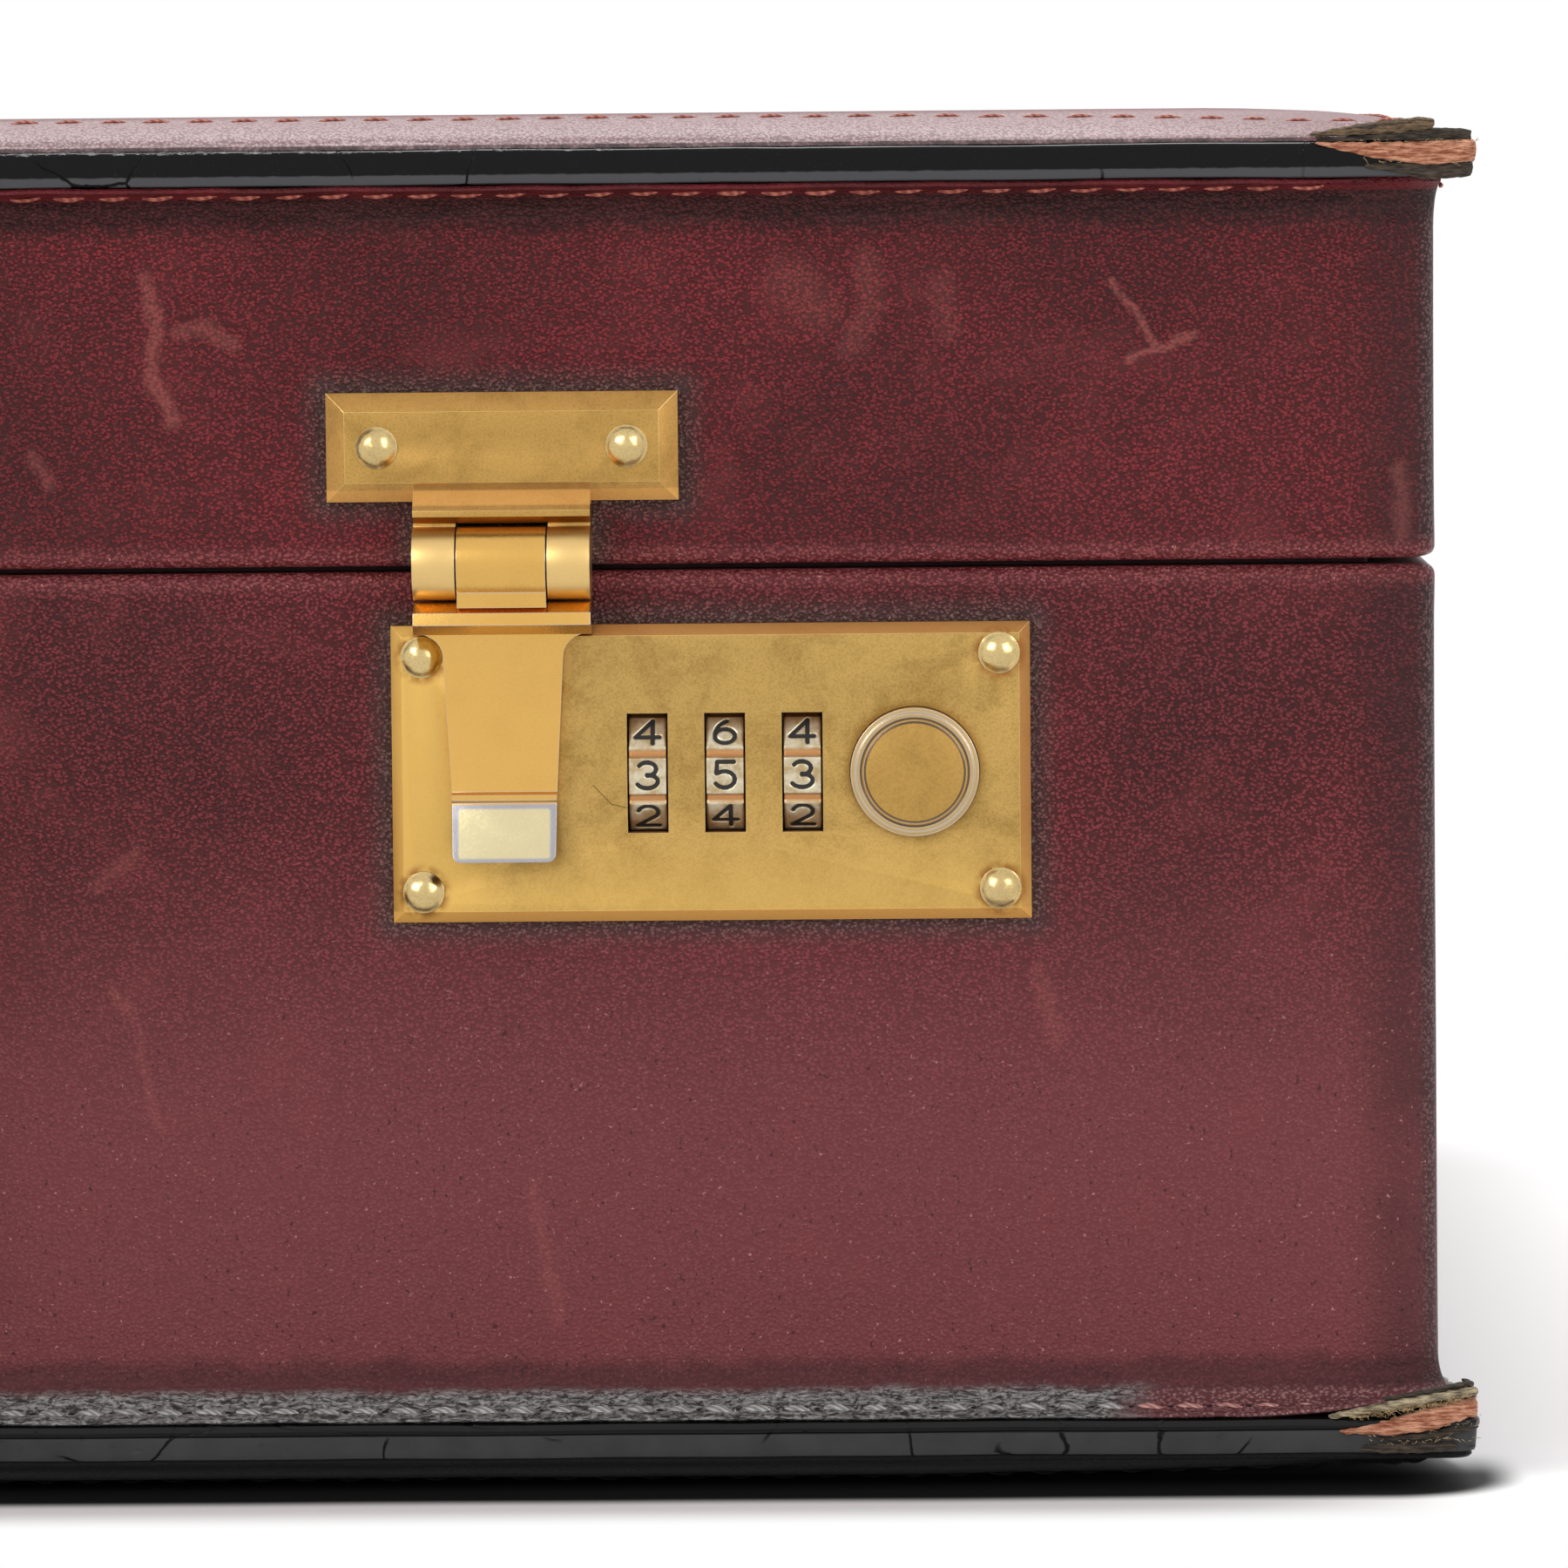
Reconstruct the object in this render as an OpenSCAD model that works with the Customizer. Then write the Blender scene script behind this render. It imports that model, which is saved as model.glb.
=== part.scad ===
// Attache case with two three-wheel combination locks, a front handle and folding lid stays.
// Millimetres. +Z is up, the front is -Y and the origin is the middle of the bottom rest face.

/* [Case] */
// Overall width over the stitched flanges
case_w = 450; // [440:1:520]
// Overall depth over the stitched flanges
case_d = 330; // [310:1:400]
// Height of the closed case
case_h = 138; // [134:1:170]
// Height of the middle of the seam between base and lid
seam_z = 92.6; // [92:0.2:100]
// Gap between the two rims at the seam
seam_gap = 0.6; // [0.4:0.1:1]
// How far the stitched flanges stand out from the walls
flange_out = 4.8; // [4:0.1:5.4]
// Rise of the top and bottom panels beyond the welts
crown = 3.4; // [2.6:0.1:4]
// Height of the black edge welt
welt_h = 3.6; // [3:0.1:4.2]
// Height over which the leather flares from the wall into the flange
flare_h = 6; // [5:0.2:8]
// Thickness of the leather at the flange's edge
flange_edge = 0.5; // [0.4:0.1:0.8]
// Corner radius of the walls
wall_corner_r = 4; // [3.6:0.1:6]
// Corner radius at the tip of the flange
flange_corner_r = 1.8; // [1.4:0.1:3]
// Width of the sloping shoulder of the top and bottom panels, inward from the wall
shoulder_w = 9; // [7:0.5:12]

/* [Materials] */
// Thickness of the leather
leather_t = 1.6; // [1.4:0.1:1.8]
// Thickness of the wall boards of the base
base_board_t = 4.5; // [4.4:0.1:5]
// Thickness of the wall boards of the lid
lid_board_t = 4; // [3.6:0.1:4.1]
// Thickness of the top and bottom boards
panel_board_t = 4; // [3:0.1:5]
// Thickness of the suede lining
lining_t = 1; // [0.6:0.1:1.1]
// Thickness of the lip strips inside the rim
lip_t = 2.2; // [1.8:0.1:2.6]
// How far the lip strips stand above the seam
lip_rise = 4.4; // [3:0.2:6]
// Height of the lip strips
lip_h = 19; // [15:0.5:22]

/* [Document pocket] */
// Distance of the pocket from the lid's side walls
pocket_inset = 28; // [24:1:40]
// Depth of the pocket, from the hinge side towards the front
pocket_depth = 208; // [180:1:230]
// Thickness of the pocket's leather
pocket_t = 1.2; // [1:0.1:1.6]
// Room inside the pocket
pocket_room = 1.8; // [1.4:0.1:2.4]
// Width of the pocket's stitched hem
pocket_hem = 3; // [2.6:0.1:5]

/* [Locks] */
// Distance of each lock's middle from the side wall
lock_inset = 72.2; // [66:0.2:80]
// Height of the locks' middle
lock_z = 72.1; // [71.6:0.1:72.6]
// Width of the lock plate
plate_w = 64; // [62:0.5:68]
// Height of the lock plate
plate_h = 29.8; // [29:0.2:31]
// Thickness of the lock plate
plate_t = 2; // [1.8:0.1:2.2]
// Width of the bevel round the lock plate
plate_bevel = 1.1; // [0.8:0.1:1.3]
// Half the distance between the plate rivets, along the plate
plate_rivet_x = 28.9; // [28.6:0.1:29.2]
// Half the distance between the plate rivets, up the plate
plate_rivet_z = 11.8; // [11.6:0.1:12]
// Diameter of the plate rivets' heads
plate_rivet_d = 3.75; // [3.4:0.05:3.8]
// Diameter of a rivet shank
shank_d = 2.2; // [1.8:0.1:2.4]
// Distance between the number wheels
wheel_pitch = 7.75; // [7.65:0.05:7.9]
// Middle number wheel, from the lock's middle
wheel_mid_x = 1.4; // [1.2:0.1:1.6]
// Width of a number wheel
wheel_w = 3.7; // [3.4:0.1:3.8]
// Length of a number wheel's hub on each side
wheel_hub = 1.7; // [1.4:0.1:1.8]
// Corner radius of the ten-sided number wheel
wheel_r = 7.6; // [7.4:0.05:7.7]
// Width of a window in the lock plate
window_w = 4.1; // [4:0.1:4.3]
// Height of a window in the lock plate
window_h = 12; // [11:0.2:12.4]
// Diameter of the wheel axle
axle_d = 3; // [2.6:0.1:3.2]
// Diameter of the round push button
button_d = 12.9; // [12.4:0.1:13.2]
// Push button, from the lock's middle
button_x = 20.4; // [20.2:0.1:20.8]
// How far the button stands out of the plate
button_proud = 2; // [1.9:0.1:2.6]
// Travel of the push button
button_travel = 1.8; // [1.4:0.1:1.8]
// Travel of the latch bolt
bolt_travel = 2.2; // [2:0.1:2.2]

/* [Hasps] */
// Hasp's middle, from the lock's middle
hasp_x = 20.6; // [20.4:0.1:20.8]
// Width of the head of the T-shaped hasp plate
tee_w = 35.2; // [33:0.2:36]
// Height of the head of the T-shaped hasp plate
tee_h = 10.9; // [10:0.1:11.4]
// Thickness of the T-shaped hasp plate
tee_t = 2.6; // [2.4:0.1:2.8]
// Bevel round the T-shaped hasp plate
tee_bevel = 1.9; // [1.4:0.1:2]
// Width of the stem and of the hasp's cross bar
stem_w = 17.7; // [17:0.1:18.4]
// Width of the hasp's middle knuckle
mid_knuckle_w = 8.9; // [8:0.1:9.6]
// Outer radius of the hasp's knuckles
knuckle_r = 3.7; // [3.5:0.05:3.8]
// Height of the hasp pin above the seam
hasp_pin_rise = 0.75; // [0.6:0.05:0.9]
// Diameter of the hasp pin
hasp_pin_d = 2.4; // [2:0.1:2.8]
// Diameter of the T-plate rivets' heads
tee_rivet_d = 4.2; // [3.8:0.1:4.4]
// Distance between the T-plate rivets
tee_rivet_gap = 25; // [24.4:0.1:25.6]

/* [Hinge] */
// Length of the piano hinge
hinge_len = 400; // [360:20:400]
// Length of one knuckle of the piano hinge
hinge_pitch = 20; // [20:5:25]
// Outer radius of the piano hinge's knuckles
hinge_r = 2.6; // [2.4:0.1:2.6]
// Diameter of the hinge pin
hinge_pin_d = 2.4; // [2:0.1:2.6]
// Width of each hinge leaf
leaf_w = 13; // [11:0.5:14]
// Thickness of the hinge leaves
leaf_t = 1; // [0.8:0.1:1.1]
// Diameter of the hinge rivets' heads
leaf_rivet_d = 4; // [3.4:0.1:4.4]
// Height of the hinge rivets' heads
leaf_rivet_h = 0.9; // [0.6:0.1:1.2]

/* [Handle] */
// Distance of each handle plate from the middle of the case
handle_x = 62; // [60:0.5:66]
// Height of the handle's pivot
handle_z = 60; // [56:0.5:62]
// Distance of the handle's pivot from the wall
handle_out = 9; // [8.8:0.1:10]
// Drop from the handle's pivot to the middle of the grip
handle_drop = 31; // [28:0.5:33]
// Thickness of the leather grip at its middle
grip_d = 16.4; // [14:0.2:16.6]
// Thickness of the leather grip at its ends
grip_end_d = 12.4; // [11:0.2:13]
// Length of the leather grip
grip_len = 116; // [104:1:116]
// Diameter of the handle's pins
handle_pin_d = 3.4; // [3:0.1:3.8]

/* [Stays] */
// Lower stay pivot, forward of the hinge axis
stay_base_u = 78.6; // [76:0.2:80]
// Lower stay pivot, below the hinge axis
stay_base_drop = 38.4; // [36:0.2:40]
// Upper stay pivot, forward of the hinge axis
stay_lid_u = 41.8; // [40:0.2:44]
// Upper stay pivot, below the inside of the lid's top
stay_lid_drop = 12.2; // [11:0.2:14]
// Half the side of the stays' square mounting plates
stay_plate_r = 7; // [6:0.5:7.5]
// Width of the stay links
stay_w = 9; // [8:0.2:10]
// Thickness of the stay links
stay_t = 1.4; // [1.2:0.1:1.6]
// Diameter of the stay rivets
stay_pin_d = 3; // [2.6:0.1:3.4]

/* [Feet] */
// Diameter of the brass standing studs on the rear wall
foot_d = 12; // [10:0.5:14]
// How far the standing studs stand out from the rear wall
foot_out = 7.3; // [7:0.1:8]
// Radius of the rounded edge of the studs
foot_round = 1.5; // [0.8:0.1:2]
// Distance of the studs from the side wall
foot_inset = 40.2; // [34:0.2:60]
// Height of the lower studs
foot_low = 24; // [20:1:28]
// Height of the upper studs
foot_high = 68; // [60:1:70]

/* [Hidden] */
round_fn = 48;
// Outline of the case
wall_x = case_w / 2 - flange_out;
wall_y = case_d / 2 - flange_out;
base_h = seam_z - seam_gap / 2;
lid_h = case_h - seam_z - seam_gap / 2;
welt_top = crown + welt_h;
rim_r = 1.2;
inner_rim_r = 0.6;
flare_curve_out = 0.6;
flare_curve_up = 0.3;
flare_steps = 8;
lining_gap = 0.6;
base_wall_t = leather_t + base_board_t;
lid_wall_t = leather_t + lid_board_t;
floor_z = leather_t + panel_board_t;
lip_x = wall_x - base_wall_t;
lip_y = wall_y - base_wall_t;
lip_top = seam_z + lip_rise;
lip_bottom = lip_top - lip_h;
// Clearance of a rivet in its hole, in radius
fit = 0.05;
// Running clearance of a pin in its bore, in radius
run = 0.04;
// Hinge axis
hinge_y = wall_y + hinge_r + 0.25;
hinge_bore_d = hinge_pin_d + 2 * run;
knuckle_gap = 0.2;
knuckle_room = 0.3;
leaf_rivet_drop = leaf_w - 4.2;
// Lock, in its own frame: x and z from the lock's middle, y as in the case
plate_y = -wall_y - plate_t;
axle_y = -wall_y + 4.93;
plate_rivet_h = 1.3;
house_w = 52.6;
house_h = 24.6;
house_d = 14;
house_t = 0.8;
house_back = -wall_y + house_d;
house_in_z = house_h / 2 - house_t;
house_room = 0.2;
shank_r = shank_d / 2;
lock_x = wall_x - lock_inset;
axle_bore_r = axle_d / 2 + run;
wheel_edge = wheel_w / 2 + wheel_hub;
bracket_t = 0.6;
comb_r = wheel_pitch + wheel_w / 2 + 0.4;
comb_h = wheel_r + 1.4;
comb_back = 2;
comb_t = 0.3;
facet_groove_w = 0.8;
facet_groove_depth = 0.4;
// Latch bolt: a bar under the wheels with a claw for the hook and a ramp for the button
slip = 0.2;
bar_t = 1.4;
bar_h = 3.2;
bar_y0 = -wall_y + slip;
bar_y1 = bar_y0 + bar_t;
bar_z0 = -house_in_z + slip;
bar_z1 = bar_z0 + bar_h;
claw_w = 3;
hook_w = 2;
hook_h = 3;
hook_z = -6.6;
nose_w = 2.2;
nose_t = 1;
hook_x0 = -hasp_x - hook_w / 2;
hook_x1 = -hasp_x + hook_w / 2;
claw_x = hook_x1 + 0.3;
nose_y0 = bar_y1 + slip;
spring_tab_x = -13.2;
spring_tab_w = 1.2;
spring_stop_x = -1;
bolt_spring_r = 1.05;
bolt_spring_y = bar_y1 + 1.5;
// Push button
button_r = button_d / 2;
collar_r = button_r + 0.35;
collar_t = 1;
well_r = collar_r + 0.6 + house_t;
button_back = -wall_y + 0.1 + collar_t;
stem_r = 1.6;
groove_r0 = 5.05;
groove_r1 = 5.45;
groove_depth = 0.3;
button_spring_r = 2.5;
button_spring_wire = 0.3;
foot_z = -(button_spring_r + 2.6);
foot_t = 2;
// Ramp on the button's foot and on the bolt; it starts behind the pressed collar
ramp_x0 = button_x - 1.8;
ramp_x1 = button_x + 1.8;
ramp_y = button_back + button_travel + 0.25;
ramp_rise = (ramp_x1 - ramp_x0) * button_travel / bolt_travel;
ramp_gap = 0.15;
// Hasp, in the lock's frame except for its heights
tee_x = lock_x - hasp_x;
tee_z = seam_z + 12.3;
tee_rivet_h = 1.5;
hasp_y = -wall_y - knuckle_r - 0.3;
hasp_z = seam_z + hasp_pin_rise;
knuckle_slip = 0.15;
hasp_bore_r = hasp_pin_d / 2 + run;
hasp_back = plate_y - 0.25;
bar_top = hasp_z - knuckle_r - knuckle_slip;
bar_bottom = bar_top - 3.2;
tongue_bottom = bar_bottom - 16.4;
tab_bottom = tongue_bottom - 6.3;
tongue_w0 = 12;
tongue_w1 = 10.5;
tongue_t = 2.05;
tongue_fillet = 2.4;
// Handle
handle_y = -wall_y - handle_out;
ear_r = 4;
ear_t = 2.6;
link_w = 7;
link_r = 4;
handle_plate_w = 22;
handle_plate_h = 28;
handle_plate_t = 1.6;
handle_rivet_z = 10;
core_r = 3;
grip_z = handle_z - handle_drop;
// Stays, in depth from the hinge axis and height from the seam
stay_wall = wall_x - base_wall_t - lining_t;
stay_lid_wall = wall_x - lid_wall_t - lining_t;
stay_x1 = lip_x - lip_t - 0.9;
stay_x0 = stay_x1 - 2 * stay_t - slip;
stay_base = [hinge_y - stay_base_u, seam_z - stay_base_drop];
stay_lid = [hinge_y - stay_lid_u, case_h - floor_z - lining_t - stay_lid_drop];
stay_elbow = stay_base + stay_lid - [hinge_y, seam_z];
stay_plate_t = 1.2;
stay_pin_r = stay_pin_d / 2;
stay_bore_r = stay_pin_r + run;

// Bends the corner radius from the wall to the flange tip
function corner_r(out) = out > 0
    ? wall_corner_r + (flange_corner_r - wall_corner_r) * min(1, out / flange_out)
    : max(0.8, wall_corner_r + out);

// Points of a rounded rectangle, `out` beyond the walls, at height z
function loop_points(out, z, steps = 6) = let (
    r = corner_r(out),
    x = wall_x + out - r,
    y = wall_y + out - r
) [
    for (q = [0:3], k = [0:steps])
        let (a = 90 * (q + k / steps), sx = q == 0 || q == 3 ? 1 : -1, sy = q < 2 ? 1 : -1)
        [sx * x + r * cos(a), sy * y + r * sin(a), z]
];

// Ring around the case whose section is the closed profile of [out, z] points, anticlockwise
module ring_sweep(profile) {
    loops = [for (p = profile) loop_points(p[0], p[1])];
    n = len(profile);
    m = len(loops[0]);
    polyhedron(
        points = [for (l = loops, p = l) p],
        faces = [
            for (i = [0:n - 1], j = [0:m - 1], half = [0, 1])
                let (
                    here = i * m,
                    above = (i + 1) % n * m,
                    right = (j + 1) % m
                )
                half == 0 ? [here + j, above + right, here + right] : [here + j, above + j, above + right]
        ]
    );
}

// Arc of profile points
function arc(cx, cz, r, a0, a1, steps) = [
    for (k = [0:steps]) let (a = a0 + (a1 - a0) * k / steps) [cx + r * cos(a), cz + r * sin(a)]
];

// Flat area inside the walls, inset from them
module wall_area(inset) {
    polygon([for (p = loop_points(-inset, 0)) [p[0], p[1]]]);
}

// Upright ring between two insets from the walls
module wall_ring(inset0, inset1, z0, z1) {
    translate([0, 0, z0]) {
        linear_extrude(z1 - z0) {
            difference() {
                wall_area(inset0);
                wall_area(inset1);
            }
        }
    }
}

// Cylinder along Y from y0 to y1
module rod_y(x, z, r, y0, y1) {
    translate([x, y1, z]) rotate([90, 0, 0]) cylinder(h = y1 - y0, r = r, $fn = round_fn);
}

// Cylinder along X from x0 to x1
module rod_x(y, z, r, x0, x1) {
    translate([x0, y, z]) rotate([0, 90, 0]) cylinder(h = x1 - x0, r = r, $fn = round_fn);
}

// Box from its lowest to its highest corner
module box(p, q) {
    translate(p) cube(q - p);
}

// Waste cut off along one edge at distance e, on side s, from the front down to `side`
module bevel_waste(s, e, bevel, front, side) {
    polygon([
        [s * e, side],
        [s * (e + 1), side],
        [s * (e + 1), front - 1],
        [s * (e - bevel), front - 1],
        [s * (e - bevel), front]
    ]);
}

// Flat plate with a bevelled rim, its face towards -Y, w by h, back at y0
module bevelled_plate(w, h, t, bevel, depth, y0) {
    x = w / 2;
    z = h / 2;
    front = -t;
    side = -t + depth;
    translate([0, y0, 0]) {
        rotate([90, 0, 0]) linear_extrude(t - depth) square([w, h], center = true);
        difference() {
            box([-x, front, -z], [x, side, z]);
            for (s = [-1, 1]) {
                rotate([0, 90, 0]) linear_extrude(w + 2, center = true) bevel_waste(s, z, bevel, front, side);
                linear_extrude(h + 2, center = true) bevel_waste(s, x, bevel, front, side);
            }
        }
    }
}

// Domed rivet along Y: head on y_face towards -Y, shank to y_end
module rivet(x, z, head_d, rise, y_face, y_end) {
    ball_r = (head_d * head_d / 4 + rise * rise) / (2 * rise);
    translate([x, y_face, z]) {
        rotate([90, 0, 0]) {
            rotate_extrude($fn = round_fn) {
                intersection() {
                    translate([0, rise - ball_r]) circle(ball_r, $fn = round_fn);
                    square([head_d, rise]);
                }
            }
        }
    }
    rod_y(x, z, shank_r, y_face, y_end);
}

// Mirrors its children for the left side when side is -1
module on_side(side) {
    if (side > 0) {
        children();
    } else {
        mirror([1, 0, 0]) children();
    }
}

// Turns the base's shell pieces over for the lid
module as_lid() {
    translate([0, 0, case_h]) mirror([0, 0, 1]) children();
}

// Point of the leather's flare, from the flange's tip at t = 0 to the wall at t = 1
function flare_point(t) = [
    (1 - t) * (1 - t) * flange_out + 2 * t * (1 - t) * flare_curve_out,
    welt_top + flange_edge + 2 * t * (1 - t) * flare_curve_up * flare_h + t * t * (flare_h - flange_edge)
];

// Leather of one half's walls, flaring into the stitched flange, turned over the rim
module cover_shell(height, board_t) {
    turn = leather_t + board_t;
    profile = concat(
        [[-leather_t, welt_top], [flange_out, welt_top]],
        [for (k = [0:flare_steps]) flare_point(k / flare_steps)],
        arc(-rim_r, height - rim_r, rim_r, 0, 90, 3),
        arc(-turn + inner_rim_r, height - inner_rim_r, inner_rim_r, 90, 180, 2),
        [[-turn, height - leather_t], [-leather_t, height - leather_t]]
    );
    ring_sweep(profile);
}

// Black welt round one half's edge
module welt_ring() {
    r = welt_h / 2;
    ring_sweep(concat(
        [[-leather_t, welt_top], [-leather_t, crown]],
        arc(flange_out + 0.2 - r, crown + r, r, -90, 90, 8)
    ));
}

// Leather panel of one half: flat middle and a shoulder that slopes to the welt
module panel_skin() {
    edge = flange_out - 0.8;
    steps = 7;
    linear_extrude(leather_t) wall_area(shoulder_w);
    ring_sweep(concat(
        [[-shoulder_w, leather_t], [-shoulder_w, 0]],
        [for (k = [1:steps]) let (a = 90 * k / steps)
            [-shoulder_w + (shoulder_w + edge) * sin(a), (crown - 0.7) * (1 - cos(a))]],
        [[edge, crown], [-leather_t, crown], [-leather_t, leather_t]]
    ));
}

// Places its children at the lock of one side
module at_lock(side) {
    on_side(side) translate([lock_x, 0, lock_z]) children();
}

// Block with the outline of the lock case, grown on every side: a box and the button's well beside it
module lock_block(grow, y0, y1) {
    w = house_w / 2 + grow;
    h = house_h / 2 + grow;
    box([-w, y0, -h], [w, y1, h]);
    box([0, y0, -well_r - grow], [button_x + well_r + grow, y1, well_r + grow]);
}

// Both lock openings in the front wall
module lock_cutouts() {
    for (side = [-1, 1]) {
        at_lock(side) lock_block(house_room, -wall_y - 1, house_back);
    }
}

// Holes for the rivets of the lock plates
module lock_rivet_holes() {
    for (side = [-1, 1], sx = [-1, 1], sz = [-1, 1]) {
        at_lock(side) {
            rod_y(sx * plate_rivet_x, sz * plate_rivet_z, shank_r + fit, -wall_y - 1, -lip_y + 1);
        }
    }
}

// Holes for the rivets of the handle plates
module handle_rivet_holes() {
    for (side = [-1, 1], sz = [-1, 1]) {
        rod_y(side * handle_x, handle_z + sz * handle_rivet_z, shank_r + fit, -wall_y - 1, -lip_y + 1);
    }
}

// Places its children at each rivet of one hinge leaf: up is 1 for the lid's leaf and -1 for the base's
module at_hinge_rivets(up) {
    pitch = 2 * hinge_pitch;
    count = floor(hinge_len / pitch);
    for (k = [0:count - 1]) {
        translate([pitch * (k - (count - 1) / 2), 0, seam_z + up * leaf_rivet_drop]) children();
    }
}

// Holes in the rear wall for the rivets of one hinge leaf
module hinge_rivet_holes(up) {
    at_hinge_rivets(up) rod_y(0, 0, shank_r + fit, lip_y - 1, wall_y + 1);
}

// Places its children at each standing stud on the rear wall
module at_feet() {
    for (side = [-1, 1], z = [foot_low, foot_high]) {
        translate([side * (wall_x - foot_inset), wall_y, z]) children();
    }
}

// Holes in the rear wall for the shanks of the standing studs
module foot_holes() {
    at_feet() rod_y(0, 0, shank_r + fit, -base_wall_t - 1, 1);
}

// Base

// Wall boards of the base, one glued frame
module base_boards() {
    color("burlywood") {
        difference() {
            wall_ring(leather_t, base_wall_t, floor_z, base_h - leather_t);
            lock_cutouts();
            lock_rivet_holes();
            handle_rivet_holes();
            hinge_rivet_holes(-1);
            foot_holes();
        }
    }
}

// Bottom or top board of one half
module panel_board() {
    translate([0, 0, leather_t]) linear_extrude(panel_board_t) wall_area(leather_t);
}

module base_bottom_board() {
    color("burlywood") panel_board();
}

// Wall leather of the base
module base_cover() {
    color([0.4, 0.08, 0.12]) {
        difference() {
            cover_shell(base_h, base_board_t);
            lock_cutouts();
            lock_rivet_holes();
            handle_rivet_holes();
            hinge_rivet_holes(-1);
            foot_holes();
        }
    }
}

module base_welt() {
    color([0.08, 0.08, 0.08]) welt_ring();
}

module base_panel() {
    color([0.38, 0.08, 0.12]) panel_skin();
}

// Suede lining of one half: walls up to `top` and the floor
module lining(wall_t, top) {
    wall_ring(wall_t, wall_t + lining_t, floor_z, top);
    translate([0, 0, floor_z]) linear_extrude(lining_t) wall_area(wall_t);
}

module base_lining() {
    color("tan") {
        difference() {
            lining(base_wall_t, lip_bottom);
            lock_cutouts();
        }
    }
}

// Strips inside the rim that the lid closes over
module lip_strips() {
    color([0.3, 0.07, 0.1]) {
        difference() {
            wall_ring(base_wall_t, base_wall_t + lip_t, lip_bottom, lip_top);
            lock_cutouts();
        }
    }
}

// Lid

// Holes for the rivets of the hasp plates
module tee_rivet_holes() {
    for (side = [-1, 1], s = [-1, 1]) {
        on_side(side) {
            rod_y(tee_x + s * tee_rivet_gap / 2, tee_z, shank_r + fit, -wall_y - 1, -wall_y + lid_wall_t + 1);
        }
    }
}

// Wall boards of the lid, one glued frame
module lid_boards() {
    color("burlywood") {
        difference() {
            as_lid() wall_ring(leather_t, lid_wall_t, floor_z, lid_h - leather_t);
            tee_rivet_holes();
            hinge_rivet_holes(1);
        }
    }
}

module lid_top_board() {
    color("burlywood") as_lid() panel_board();
}

// Wall leather of the lid
module lid_cover() {
    color([0.42, 0.08, 0.13]) {
        difference() {
            as_lid() cover_shell(lid_h, lid_board_t);
            tee_rivet_holes();
            hinge_rivet_holes(1);
        }
    }
}

module lid_welt() {
    color([0.08, 0.08, 0.08]) as_lid() welt_ring();
}

module lid_panel() {
    color([0.42, 0.1, 0.14]) as_lid() panel_skin();
}

module lid_lining() {
    color("tan") as_lid() lining(lid_wall_t, case_h - lip_top - lining_gap);
}

// Flat leather pocket under the lid, open towards the front
module document_pocket() {
    z1 = case_h - floor_z - lining_t;
    x1 = wall_x - lid_wall_t - lining_t - pocket_inset;
    y1 = wall_y - lid_wall_t - lining_t - pocket_inset / 5;
    color([0.45, 0.2, 0.12]) {
        difference() {
            box([-x1, y1 - pocket_depth, z1 - pocket_room - pocket_t], [x1, y1, z1]);
            box(
                [-x1 + pocket_hem, y1 - pocket_depth - 1, z1 - pocket_room],
                [x1 - pocket_hem, y1 - pocket_hem, z1 + 1]
            );
        }
    }
}

// Hinge

// One leaf of the piano hinge with every second knuckle: up is 1 for the lid's leaf
module hinge_leaf(up) {
    count = round(hinge_len / hinge_pitch);
    start = up > 0 ? 1 : 0;
    half = hinge_len / 2;
    near = 0.45;
    notch = hinge_r + knuckle_room;
    difference() {
        union() {
            box([-half, wall_y, seam_z + min(up * near, up * leaf_w)],
                [half, wall_y + leaf_t, seam_z + max(up * near, up * leaf_w)]);
            for (k = [start:2:count - 1]) {
                x = -half + k * hinge_pitch;
                rod_x(hinge_y, seam_z, hinge_r, x + knuckle_gap / 2, x + hinge_pitch - knuckle_gap / 2);
            }
        }
        for (k = [1 - start:2:count - 1]) {
            x = -half + k * hinge_pitch;
            box([x - knuckle_gap / 2, wall_y - 1, seam_z - notch],
                [x + hinge_pitch + knuckle_gap / 2, hinge_y + notch, seam_z + notch]);
        }
        rod_x(hinge_y, seam_z, hinge_bore_d / 2, -half - 1, half + 1);
        at_hinge_rivets(up) rod_y(0, 0, shank_r + fit, wall_y - 1, wall_y + leaf_t + 1);
    }
}

module hinge_base_leaf() {
    color("goldenrod") hinge_leaf(-1);
}

module hinge_lid_leaf() {
    color("goldenrod") hinge_leaf(1);
}

module hinge_pin() {
    color("silver") rod_x(hinge_y, seam_z, hinge_pin_d / 2, -hinge_len / 2, hinge_len / 2);
}

// Rivets of one hinge leaf, their heads towards +Y
module leaf_rivets(up, wall_t) {
    at_hinge_rivets(up) {
        mirror([0, 1, 0]) rivet(0, 0, leaf_rivet_d, leaf_rivet_h, -wall_y - leaf_t, -wall_y + wall_t);
    }
}

module hinge_base_rivets() {
    color("gold") leaf_rivets(-1, base_wall_t);
}

module hinge_lid_rivets() {
    color("gold") leaf_rivets(1, lid_wall_t);
}

// Locks

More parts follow.
